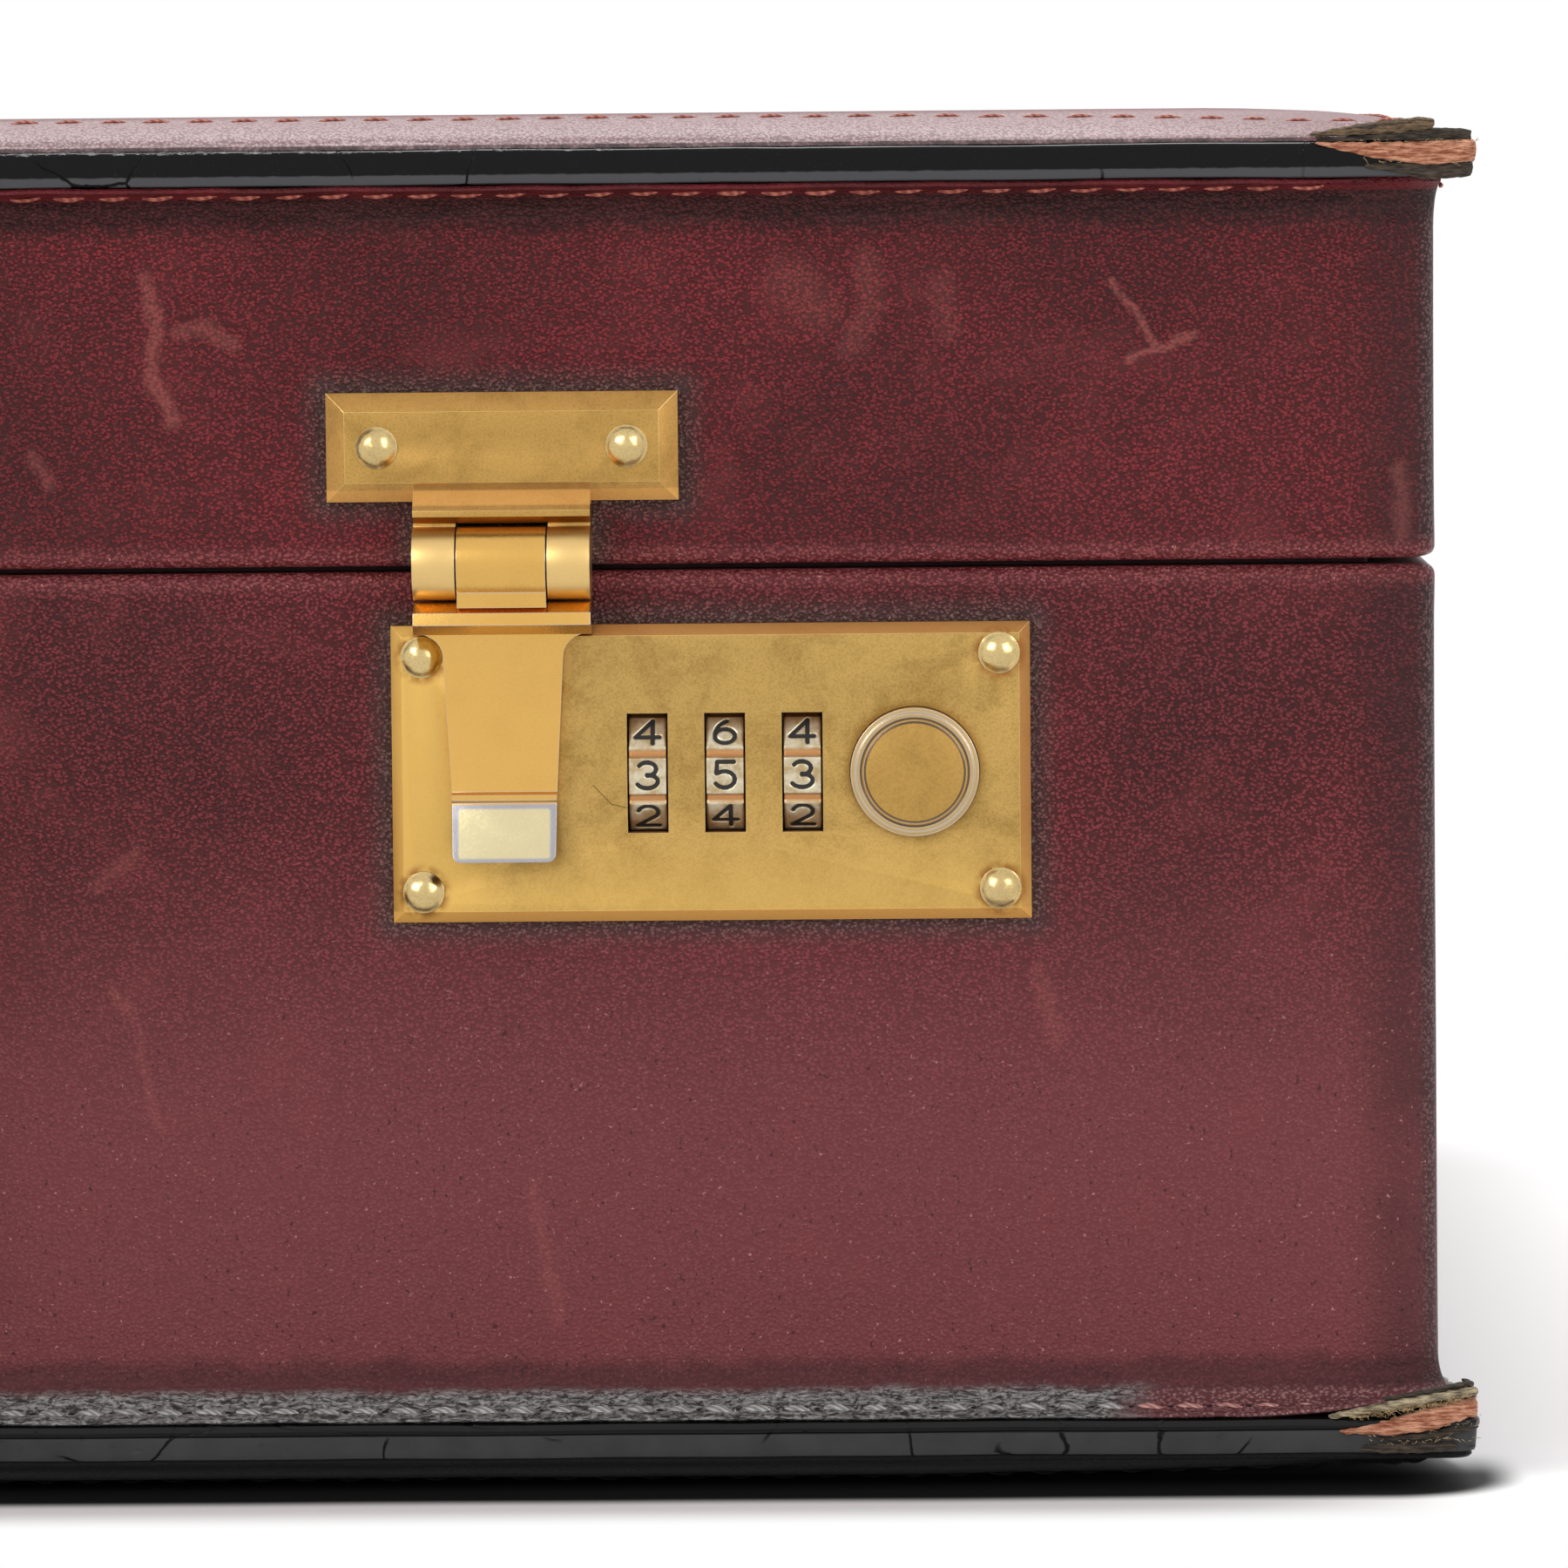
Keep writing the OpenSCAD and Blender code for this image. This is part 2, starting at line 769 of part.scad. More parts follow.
// Bevelled face plate with windows, button hole, hook slot and rivet holes
module lock_plate(side) {
    color("goldenrod") {
        at_lock(side) {
            difference() {
                bevelled_plate(plate_w, plate_h, plate_t, plate_bevel, 0.9, -wall_y);
                for (k = [-1:1]) {
                    x = wheel_mid_x + k * wheel_pitch;
                    box(
                        [x - window_w / 2, plate_y - 1, -window_h / 2],
                        [x + window_w / 2, -wall_y + 1, window_h / 2]
                    );
                }
                for (sx = [-1, 1], sz = [-1, 1]) {
                    rod_y(sx * plate_rivet_x, sz * plate_rivet_z, shank_r + fit, plate_y - 1, -wall_y + 1);
                }
                rod_y(button_x, 0, button_r + 0.08, plate_y - 1, -wall_y + 1);
                box(
                    [hook_x0 - 0.3, plate_y - 1, hook_z - 1.3],
                    [hook_x1 + nose_w + 0.4, -wall_y + 1, hook_z + hook_h + 0.5]
                );
            }
        }
    }
}

module lock_plate_right() {
    lock_plate(1);
}

module lock_plate_left() {
    lock_plate(-1);
}

// Lock case behind the plate with the axle's brackets, the bolt's guides and its spring stop
module lock_housing(side) {
    inner = house_back - house_t;
    guide_y = bar_y1 + slip;
    color("silver") {
        at_lock(side) {
            difference() {
                lock_block(0, -wall_y, house_back);
                lock_block(-house_t, -wall_y - 1, inner);
            }
            for (s = [-1, 1]) {
                x = wheel_mid_x + s * (wheel_pitch + wheel_edge + 0.05 + bracket_t / 2) - bracket_t / 2;
                difference() {
                    box([x, axle_y - 2.2, -2.5], [x + bracket_t, inner, 2.5]);
                    rod_x(axle_y, 0, axle_bore_r, x - 1, x + bracket_t + 1);
                }
            }
            for (x = [claw_x + 0.4, 11]) {
                box([x, guide_y, -house_in_z], [x + 2, guide_y + 1, bar_z1 - slip]);
            }
            box([spring_stop_x, guide_y, -house_in_z], [spring_stop_x + 1.2, guide_y + 3, bar_z1]);
        }
    }
}

module lock_housing_right() {
    lock_housing(1);
}

module lock_housing_left() {
    lock_housing(-1);
}

module lock_plate_rivets() {
    color("gold") {
        for (side = [-1, 1], sx = [-1, 1], sz = [-1, 1]) {
            at_lock(side) {
                rivet(sx * plate_rivet_x, sz * plate_rivet_z, plate_rivet_d, plate_rivet_h, plate_y, -lip_y);
            }
        }
    }
}

module wheel_axles() {
    half = wheel_pitch + wheel_edge + bracket_t + 0.2;
    color("silver") {
        for (side = [-1, 1]) {
            at_lock(side) {
                rod_x(axle_y, 0, axle_d / 2, wheel_mid_x - half, wheel_mid_x + half);
            }
        }
    }
}

// Comb of flat springs on the back of each lock case
module wheel_springs() {
    y = house_back - house_t;
    color("slategray") {
        for (side = [-1, 1]) {
            at_lock(side) {
                difference() {
                    box(
                        [wheel_mid_x - comb_r, y - comb_t, -comb_h],
                        [wheel_mid_x + comb_r, y, comb_h - comb_back]
                    );
                    for (k = [-0.5, 0.5]) {
                        x = wheel_mid_x + k * wheel_pitch;
                        box([x - 1, y - 1, -comb_h - 1], [x + 1, y + 1, comb_h - 2 * comb_back]);
                    }
                }
            }
        }
    }
}

// Ten-sided number wheel with grooves between its faces; k is -1, 0 or 1 from the inner side
module number_wheel(side, k) {
    x = wheel_mid_x + k * wheel_pitch;
    color("darkkhaki") {
        at_lock(side) {
            translate([x, axle_y, 0]) {
                rotate([0, 90, 0]) {
                    difference() {
                        union() {
                            cylinder(h = wheel_w, r = wheel_r, center = true, $fn = 10);
                            cylinder(h = 2 * wheel_edge, r = 3, center = true, $fn = round_fn);
                        }
                        cylinder(h = 2 * wheel_edge + 2, r = axle_bore_r, center = true, $fn = round_fn);
                        for (q = [0:9]) {
                            rotate([0, 0, 36 * q]) {
                                translate([wheel_r - facet_groove_depth, -facet_groove_w / 2, -wheel_w]) {
                                    cube([1, facet_groove_w, 2 * wheel_w]);
                                }
                            }
                        }
                    }
                }
            }
        }
    }
}

module number_wheel_right_1() {
    number_wheel(1, -1);
}

module number_wheel_right_2() {
    number_wheel(1, 0);
}

module number_wheel_right_3() {
    number_wheel(1, 1);
}

module number_wheel_left_1() {
    number_wheel(-1, -1);
}

module number_wheel_left_2() {
    number_wheel(-1, 0);
}

module number_wheel_left_3() {
    number_wheel(-1, 1);
}

// Round push button: face with a ring groove, retaining collar, spring stem and ramp foot
module push_button(side) {
    face = plate_y - button_proud;
    color("goldenrod") {
        at_lock(side) {
            difference() {
                union() {
                    rod_y(button_x, 0, button_r, face + 0.5, button_back);
                    rod_y(button_x, 0, button_r - 0.5, face, face + 0.5);
                    rod_y(button_x, 0, collar_r, button_back - collar_t, button_back);
                    rod_y(button_x, 0, stem_r, button_back, button_back + 7);
                }
                difference() {
                    rod_y(button_x, 0, groove_r1, face - 1, face + groove_depth);
                    rod_y(button_x, 0, groove_r0, face - 2, face + 1);
                }
            }
            translate([0, 0, foot_z]) {
                linear_extrude(foot_t) {
                    polygon([
                        [ramp_x0, button_back - 0.5],
                        [ramp_x1, button_back - 0.5],
                        [ramp_x1, ramp_y],
                        [ramp_x0, ramp_y + ramp_rise]
                    ]);
                }
            }
        }
    }
}

module push_button_right() {
    push_button(1);
}

module push_button_left() {
    push_button(-1);
}

// Open coil along +Z from z = 0: mean radius r, wire radius w
module coil(r, w, length, turns) {
    sides = 6;
    per_turn = 10;
    n = turns * per_turn;
    rise = length - 2 * w;
    points = [
        for (i = [0:n], k = [0:sides - 1])
            let (a = 360 * i / per_turn, b = 360 * k / sides, q = r + w * cos(b))
            [q * cos(a), q * sin(a), w + rise * i / n + w * sin(b)]
    ];
    polyhedron(
        points = points,
        faces = concat(
            [[for (k = [0:sides - 1]) k]],
            [[for (k = [sides - 1:-1:0]) n * sides + k]],
            [
                for (i = [0:n - 1], k = [0:sides - 1], half = [0, 1])
                    let (a = i * sides + k, b = i * sides + (k + 1) % sides)
                    half == 0 ? [a, a + sides, b + sides] : [a, b + sides, b]
            ]
        )
    );
}

module button_spring(side) {
    y1 = house_back - house_t;
    color("slategray") {
        at_lock(side) {
            translate([button_x, y1, 0]) {
                rotate([90, 0, 0]) coil(button_spring_r, button_spring_wire, y1 - button_back, 5);
            }
        }
    }
}

module button_spring_right() {
    button_spring(1);
}

module button_spring_left() {
    button_spring(-1);
}

// Sliding bolt: bar, claw behind the hook slot, spring tab and ramp block
module latch_bolt(side) {
    ramp_arm = ramp_x1 + 1;
    ramp_back = ramp_y + ramp_rise + 2.2;
    color("silver") {
        at_lock(side) {
            box([claw_x, bar_y0, bar_z0], [ramp_arm, bar_y1, bar_z1]);
            box([claw_x, bar_y0, bar_z0], [claw_x + claw_w, bar_y1, hook_z + hook_h + 0.2]);
            box([spring_tab_x, bar_y0, bar_z0], [spring_tab_x + spring_tab_w, bar_y1 + 2.8, bar_z1]);
            box([ramp_x1 - 1.4, bar_y0, bar_z0], [ramp_arm, ramp_back, bar_z1]);
            translate([0, 0, bar_z0]) {
                linear_extrude(-bar_z0 - button_spring_r - 0.7) {
                    polygon([
                        [ramp_x1 + ramp_gap, ramp_y],
                        [ramp_arm, ramp_y],
                        [ramp_arm, ramp_back],
                        [ramp_x0 + ramp_gap, ramp_back],
                        [ramp_x0 + ramp_gap, ramp_y + ramp_rise + ramp_gap]
                    ]);
                }
            }
        }
    }
}

module latch_bolt_right() {
    latch_bolt(1);
}

module latch_bolt_left() {
    latch_bolt(-1);
}

module bolt_spring(side) {
    x0 = spring_tab_x + spring_tab_w;
    color("slategray") {
        at_lock(side) {
            translate([x0, bolt_spring_y, (bar_z0 + bar_z1) / 2]) {
                rotate([0, 90, 0]) coil(bolt_spring_r, 0.2, spring_stop_x - x0, 8);
            }
        }
    }
}

module bolt_spring_right() {
    bolt_spring(1);
}

module bolt_spring_left() {
    bolt_spring(-1);
}

// Hasps

// T-shaped plate on the lid: bevelled head, swelling stem and the two outer knuckles
module hasp_plate(side) {
    half = stem_w / 2;
    inner = mid_knuckle_w / 2 + knuckle_slip;
    top = tee_z - tee_h / 2 + 1.8;
    ridge = hasp_z + knuckle_r + 1.6;
    lip = hasp_z + knuckle_r + 0.3;
    color("goldenrod") {
        on_side(side) {
            translate([tee_x, 0, 0]) {
                difference() {
                    union() {
                        translate([0, 0, tee_z]) {
                            bevelled_plate(tee_w, tee_h, tee_t, tee_bevel, 1.2, -wall_y);
                        }
                        rotate([90, 0, 90]) {
                            linear_extrude(stem_w, center = true) {
                                polygon([
                                    [-wall_y, lip],
                                    [-wall_y, top],
                                    [-wall_y - tee_t, top],
                                    [hasp_y - 1, ridge],
                                    [hasp_y - 1, ridge - 0.6],
                                    [hasp_y, lip]
                                ]);
                            }
                        }
                        for (s = [-1, 1]) {
                            x0 = s > 0 ? inner : -half;
                            x1 = s > 0 ? half : -inner;
                            rod_x(hasp_y, hasp_z, knuckle_r, x0, x1);
                            box([x0, hasp_y, hasp_z + 0.2], [x1, -wall_y, lip + 0.2]);
                        }
                    }
                    rod_x(hasp_y, hasp_z, hasp_bore_r, -half - 1, half + 1);
                    for (s = [-1, 1]) {
                        rod_y(s * tee_rivet_gap / 2, tee_z, shank_r + fit, -wall_y - tee_t - 1, -wall_y + 1);
                    }
                }
            }
        }
    }
}

module hasp_plate_right() {
    hasp_plate(1);
}

module hasp_plate_left() {
    hasp_plate(-1);
}

module hasp_plate_rivets() {
    color("gold") {
        for (side = [-1, 1], s = [-1, 1]) {
            on_side(side) {
                x = tee_x + s * tee_rivet_gap / 2;
                rivet(x, tee_z, tee_rivet_d, tee_rivet_h, -wall_y - tee_t, -wall_y + lid_wall_t);
            }
        }
    }
}

module hasp_pins() {
    color("silver") {
        for (side = [-1, 1]) {
            on_side(side) {
                rod_x(hasp_y, hasp_z, hasp_pin_d / 2, tee_x - stem_w / 2, tee_x + stem_w / 2);
            }
        }
    }
}

// Outline of the hasp's tongue and tab, seen from the front, with x from the hasp's middle
module tongue_outline() {
    w0 = tongue_w0 / 2;
    w1 = tongue_w1 / 2;
    f = tongue_fillet;
    side = concat(
        [[-0.5 * stem_w, bar_bottom + 0.5], [-w0 - f, bar_bottom]],
        arc(-w0 - f, bar_bottom - f, f, 90, 0, 6),
        [[-w1, tongue_bottom], [-w1 + 0.1, tab_bottom + 0.8]],
        arc(-w1 + 0.9, tab_bottom + 0.8, 0.8, 180, 270, 4)
    );
    n = len(side);
    polygon(concat(side, [for (k = [n - 1:-1:0]) [-side[k][0], side[k][1]]]));
}

// Swinging hasp: middle knuckle, cross bar, tapered tongue, flared tab and the hook behind it
module hasp(side) {
    front = hasp_back - tongue_t;
    color("gold") {
        on_side(side) {
            translate([tee_x, 0, 0]) {
                difference() {
                    union() {
                        rod_x(hasp_y, hasp_z, knuckle_r, -mid_knuckle_w / 2, mid_knuckle_w / 2);
                        box(
                            [-mid_knuckle_w / 2, hasp_y - 2.4, bar_top - 0.5],
                            [mid_knuckle_w / 2, hasp_back, hasp_z - 2.4]
                        );
                    }
                    rod_x(hasp_y, hasp_z, hasp_bore_r, -stem_w, stem_w);
                }
                rotate([90, 0, 90]) {
                    linear_extrude(stem_w, center = true) {
                        polygon([
                            [hasp_back, bar_bottom],
                            [hasp_back, bar_top],
                            [hasp_y - 0.7, bar_top],
                            [hasp_y - 2.5, bar_top - 1],
                            [hasp_y - 2.7, bar_top - 2.2],
                            [hasp_y - 1.6, bar_bottom]
                        ]);
                    }
                }
                intersection() {
                    translate([0, -wall_y, 0]) rotate([90, 0, 0]) linear_extrude(10) tongue_outline();
                    rotate([90, 0, 90]) {
                        linear_extrude(stem_w, center = true) {
                            polygon([
                                [hasp_back, tongue_bottom - 0.6],
                                [hasp_back, bar_bottom + 0.5],
                                [front - 0.3, bar_bottom + 0.5],
                                [front, bar_bottom - 3],
                                [front, tongue_bottom + 0.6],
                                [front - 0.6, tongue_bottom + 0.3],
                                [front - 0.6, tongue_bottom - 0.2],
                                [front - 0.3, tongue_bottom - 0.5],
                                [front - 2.4, tab_bottom],
                                [front - 0.9, tab_bottom - 0.5]
                            ]);
                        }
                    }
                }
            }
            translate([lock_x, 0, lock_z]) {
                box([hook_x0, hasp_back - 0.5, hook_z], [hook_x1, nose_y0 + nose_t, hook_z + hook_h]);
                box([hook_x0, nose_y0, hook_z], [hook_x1 + nose_w, nose_y0 + nose_t, hook_z + hook_h]);
            }
        }
    }
}

module hasp_right() {
    hasp(1);
}

module hasp_left() {
    hasp(-1);
}

// Handle

// Riveted plate with two ears on each side of the handle
module handle_plates() {
    color("goldenrod") {
        for (side = [-1, 1]) {
            translate([side * handle_x, 0, handle_z]) {
                difference() {
                    union() {
                        bevelled_plate(handle_plate_w, handle_plate_h, handle_plate_t, 0.8, 0.8, -wall_y);
                        for (s = [-1, 1]) {
                            x0 = s * (link_w / 2 + slip + ear_t / 2) - ear_t / 2;
                            rod_x(handle_y, 0, ear_r, x0, x0 + ear_t);
                            box([x0, handle_y, -ear_r], [x0 + ear_t, -wall_y, ear_r]);
                        }
                    }
                    rod_x(handle_y, 0, handle_pin_d / 2 + run, -20, 20);
                    for (s = [-1, 1]) {
                        rod_y(0, s * handle_rivet_z, shank_r + fit, -wall_y - 4, -wall_y + 1);
                    }
                }
            }
        }
    }
}

module handle_plate_rivets() {
    color("gold") {
        for (side = [-1, 1], s = [-1, 1]) {
            z = handle_z + s * handle_rivet_z;
            rivet(side * handle_x, z, plate_rivet_d, plate_rivet_h, -wall_y - handle_plate_t, -lip_y);
        }
    }
}

module handle_pins() {
    half = link_w / 2 + slip + ear_t + 0.6;
    color("silver") {
        for (side = [-1, 1]) {
            rod_x(handle_y, handle_z, handle_pin_d / 2, side * handle_x - half, side * handle_x + half);
        }
    }
}

// Brass end links between the pins and the core
module handle_links() {
    color("goldenrod") {
        for (side = [-1, 1]) {
            x0 = side * handle_x - link_w / 2;
            x1 = side * handle_x + link_w / 2;
            difference() {
                union() {
                    rod_x(handle_y, handle_z, link_r, x0, x1);
                    rod_x(handle_y, grip_z, core_r + 2, x0, x1);
                    box([x0 + 1, handle_y - 2.6, grip_z], [x1 - 1, handle_y + 2.6, handle_z]);
                }
                rod_x(handle_y, handle_z, handle_pin_d / 2 + run, x0 - 1, x1 + 1);
                rod_x(handle_y, grip_z, core_r + run, x0 - 1, x1 + 1);
            }
        }
    }
}

module handle_core() {
    half = handle_x + link_w / 2 + 0.8;
    color("silver") rod_x(handle_y, grip_z, core_r, -half, half);
}

// Leather grip, swelling towards its middle, bored for the core
module handle_grip() {
    half = grip_len / 2;
    steps = 12;
    color([0.35, 0.07, 0.1]) {
        translate([0, handle_y, grip_z]) {
            rotate([0, 90, 0]) {
                rotate_extrude($fn = round_fn) {
                    polygon(concat(
                        [[core_r + run, half], [core_r + run, -half]],
                        [for (k = [0:steps]) let (t = 2 * k / steps - 1)
                            [grip_end_d / 2 + (grip_d - grip_end_d) / 2 * (1 - t * t), half * t]]
                    ));
                }
            }
        }
    }
}

module rear_feet() {
    color("gold") {
        at_feet() {
            rotate([-90, 0, 0]) {
                cylinder(h = foot_out - foot_round, r = foot_d / 2, $fn = round_fn);
                rotate_extrude($fn = round_fn) {
                    translate([0, foot_out - foot_round]) {
                        square([foot_d / 2 - foot_round, foot_round]);
                        intersection() {
                            translate([foot_d / 2 - foot_round, 0]) circle(foot_round, $fn = round_fn);
                            square([foot_d / 2, foot_round]);
                        }
                    }
                }
            }
            rod_y(0, 0, shank_r, -base_wall_t, 0.5);
        }
    }
}

// Stays

// Link between two points of [y, z] in the plane from x0
module stay_link(p, q, x0) {
    d = q - p;
    length = norm(d);
    r = stay_w / 2;
    translate([x0, p[0], p[1]]) {
        rotate([atan2(d[1], d[0]), 0, 0]) {
            difference() {
                union() {
                    box([0, 0, -r + 1], [stay_t, length, r - 1]);
                    rod_x(0, 0, r, 0, stay_t);
                    rod_x(length, 0, r, 0, stay_t);
                }
                rod_x(0, 0, stay_bore_r, -1, stay_t + 1);
                rod_x(length, 0, stay_bore_r, -1, stay_t + 1);
            }
        }
    }
}

// Square mounting plate round a pivot, against the wall
module stay_plate(p, x_wall) {
    r = stay_plate_r;
    box([x_wall - stay_plate_t, p[0] - r, p[1] - r], [x_wall, p[0] + r, p[1] + r]);
}

// Headed stud along X
module stay_stud(p, x_wall, x_end) {
    rod_x(p[0], p[1], stay_pin_r, x_end, x_wall);
    rod_x(p[0], p[1], stay_pin_r + 1, x_end, x_end + 0.5);
}

module stay_base_brackets() {
    color("goldenrod") {
        for (side = [-1, 1]) {
            on_side(side) {
                stay_plate(stay_base, stay_wall);
                stay_stud(stay_base, stay_wall, stay_x1 - stay_t - slip - 0.5);
            }
        }
    }
}

module stay_lid_brackets() {
    color("goldenrod") {
        for (side = [-1, 1]) {
            on_side(side) {
                stay_plate(stay_lid, stay_lid_wall);
                stay_stud(stay_lid, stay_lid_wall, stay_x0 - slip - 0.5);
            }
        }
    }
}

// Lower link with the elbow's rivet
module stay_lower(side) {
    color("goldenrod") {
        on_side(side) {
            stay_link(stay_base, stay_elbow, stay_x1 - stay_t);
            rod_x(stay_elbow[0], stay_elbow[1], stay_pin_r, stay_x0 - slip - 0.5, stay_x1 + 0.4);
            rod_x(stay_elbow[0], stay_elbow[1], stay_pin_r + 1, stay_x0 - slip - 0.5, stay_x0 - slip);
        }
    }
}

module stay_lower_right() {
    stay_lower(1);
}

module stay_lower_left() {
    stay_lower(-1);
}

// Upper link; its lid end has a wider bore
module stay_upper(side) {
    color("goldenrod") {
        on_side(side) {
            difference() {
                stay_link(stay_elbow, stay_lid, stay_x0);
                rod_x(stay_lid[0], stay_lid[1], stay_pin_r + 0.15, stay_x0 - 1, stay_x1);
            }
        }
    }
}

module stay_upper_right() {
    stay_upper(1);
}

module stay_upper_left() {
    stay_upper(-1);
}

base_boards();
base_bottom_board();
base_cover();
base_welt();
base_panel();
base_lining();
lip_strips();
lid_boards();
lid_top_board();
lid_cover();
lid_welt();
lid_panel();
lid_lining();
document_pocket();
hinge_base_leaf();
hinge_lid_leaf();
hinge_pin();
hinge_base_rivets();
hinge_lid_rivets();
lock_plate_right();
lock_plate_left();
lock_housing_right();
lock_housing_left();
lock_plate_rivets();
wheel_axles();
wheel_springs();
number_wheel_right_1();
number_wheel_right_2();
number_wheel_right_3();
number_wheel_left_1();
number_wheel_left_2();
number_wheel_left_3();
push_button_right();
push_button_left();
button_spring_right();
button_spring_left();
latch_bolt_right();
latch_bolt_left();
bolt_spring_right();
bolt_spring_left();
hasp_plate_right();
hasp_plate_left();
hasp_plate_rivets();
hasp_pins();
hasp_right();
hasp_left();
handle_plates();
handle_plate_rivets();
handle_pins();
handle_links();
handle_core();
handle_grip();
rear_feet();
stay_base_brackets();
stay_lid_brackets();
stay_lower_right();
stay_lower_left();
stay_upper_right();
stay_upper_left();
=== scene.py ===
"""Looks of a burgundy leather attache case with brass locks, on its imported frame.

Shapes are worked out in millimetres (X right, Y back, Z up) and put into their meshes in metres.
"""
import math

import bmesh
import bpy
import numpy as np
from mathutils import Matrix, Vector


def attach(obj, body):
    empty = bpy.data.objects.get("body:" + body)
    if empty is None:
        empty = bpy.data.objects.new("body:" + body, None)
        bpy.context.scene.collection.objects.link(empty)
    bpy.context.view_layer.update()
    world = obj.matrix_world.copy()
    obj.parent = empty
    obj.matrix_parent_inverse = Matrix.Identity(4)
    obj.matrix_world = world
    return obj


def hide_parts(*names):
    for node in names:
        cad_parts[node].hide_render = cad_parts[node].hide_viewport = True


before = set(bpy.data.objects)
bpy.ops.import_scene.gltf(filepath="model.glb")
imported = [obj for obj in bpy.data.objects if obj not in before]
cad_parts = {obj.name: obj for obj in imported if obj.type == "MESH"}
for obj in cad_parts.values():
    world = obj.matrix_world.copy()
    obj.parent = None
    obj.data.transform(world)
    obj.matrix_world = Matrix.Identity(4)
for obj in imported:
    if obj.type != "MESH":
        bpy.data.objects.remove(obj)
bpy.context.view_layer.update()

MM = 0.001

# Sizes of the case, as in its frame
WALL_X = 220.2
WALL_Y = 160.2
CASE_H = 138.0
BASE_RIM = 92.3
LID_RIM = 45.1
FLANGE_OUT = 4.8
WELT_Z0 = 3.4
WELT_Z1 = 7.0
FLARE_TOP = 12.4
SHOULDER = 9.0
LEATHER_T = 1.6
LOCK_X = 148.0
LOCK_Z = 72.1
PLATE_HALF_X = 32
PLATE_HALF_Z = 14.9
PLATE_STUD_X = 28.9
PLATE_STUD_Z = 11.8
BUTTON_X = 168.4
HASP_X = 127.4
TEE_Z = 104.9
TEE_HALF_X = 17.6
TEE_HALF_Z = 5.4
HANDLE_Y = -169.2
GRIP_Z = 29.0
GRIP_HALF = 58.0
AXLE_Y = -155.27
WHEEL_XS = (-6.35, 1.4, 9.15)
STITCH_PITCH = 4.4
STITCH_SHARE = 0.62
BASE_STITCH_PITCH = 3.95
SEAM_Z = 92.6
HINGE_STUD_RISE = 8.8
WHEEL_R = 7.6

# The flange stands out less on the sides of the case: SIDE_SHARE of the front's at the corners, and from
# 24 mm in it loses SIDE_TUCK of that
SIDE_SHARE = 0.84
SIDE_TUCK = 0.62

# The camera: its place in millimetres, its yaw, pitch and roll in degrees, and its focal length in pixels
CAMERA_AT = (171.697, -1090.0, 137.4)
CAMERA_TURN = (-1.013, 4.099, -0.536)
FOCAL_PIXELS = 10671.4
PHOTO_PIXELS = 1800
SENSOR_MM = 36


# Mesh helpers

def smoothstep(x, low, high):
    """0 below low, 1 above high, and 3t^2 - 2t^3 between them."""
    t = np.clip((np.asarray(x, float) - low) / (high - low), 0, 1)
    return t * t * (3 - 2 * t)


def wobble(points, size, seed=0.0):
    """Smooth irregular number from -1 to 1 at each point: a sum of three sine waves in skew directions."""
    p = np.asarray(points, float) / size
    a = np.sin(p @ np.array([2.1, 1.3, 1.7]) + 1.3 * seed)
    b = np.sin(p @ np.array([-1.2, 2.7, 0.9]) + 2.1 * seed + a)
    c = np.sin(p @ np.array([3.1, -1.9, 2.3]) + 0.7 * seed + b)
    return (a + b + c) / 3


def grid_faces(rows, columns, close_rows=False, close_columns=False, start=0):
    """Quads between neighbouring points of a rows by columns grid of point numbers."""
    index = np.arange(rows * columns).reshape(rows, columns) + start
    if close_rows:
        index = np.vstack([index, index[:1]])
    if close_columns:
        index = np.hstack([index, index[:, :1]])
    quads = np.stack([index[:-1, :-1], index[:-1, 1:], index[1:, 1:], index[1:, :-1]], -1)
    return quads.reshape(-1, 4)


def make_mesh(name, points, face_sets, merge=False):
    """Mesh of points in millimetres and arrays of faces, its faces turned outwards."""
    mesh = bpy.data.meshes.new(name)
    loops = np.concatenate([f.ravel() for f in face_sets]).astype(np.int32)
    sizes = np.concatenate([np.full(len(f), f.shape[1]) for f in face_sets])
    mesh.vertices.add(len(points))
    mesh.vertices.foreach_set("co", (np.asarray(points) * MM).astype(np.float32).ravel())
    mesh.loops.add(len(loops))
    mesh.loops.foreach_set("vertex_index", loops)
    mesh.polygons.add(len(sizes))
    mesh.polygons.foreach_set("loop_start", (np.cumsum(sizes) - sizes).astype(np.int32))
    mesh.update(calc_edges=True)
    work = bmesh.new()
    work.from_mesh(mesh)
    if merge:
        bmesh.ops.remove_doubles(work, verts=work.verts, dist=1e-7)
    bmesh.ops.recalc_face_normals(work, faces=work.faces)
    if work.calc_volume(signed=True) < 0:
        bmesh.ops.reverse_faces(work, faces=work.faces)
    work.to_mesh(mesh)
    work.free()
    mesh.validate()
    return mesh


def add_values(mesh, **values):
    """Gives the mesh named numbers, one for each point."""
    for name, numbers in values.items():
        layer = mesh.attributes.new(name, "FLOAT", "POINT")
        layer.data.foreach_set("value", np.asarray(numbers, np.float32).ravel())


def place(name, mesh, finish, body, nodes=(), sharp=40):
    """Puts a mesh into the scene as a piece that rides on a body and stands for CAD nodes."""
    piece = bpy.data.objects.new(name, mesh)
    bpy.context.scene.collection.objects.link(piece)
    mesh.materials.append(finish)
    mesh.polygons.foreach_set("use_smooth", np.ones(len(mesh.polygons), bool))
    mesh.set_sharp_from_angle(angle=math.radians(sharp))
    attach(piece, body)
    if nodes:
        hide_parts(*nodes)
    return piece


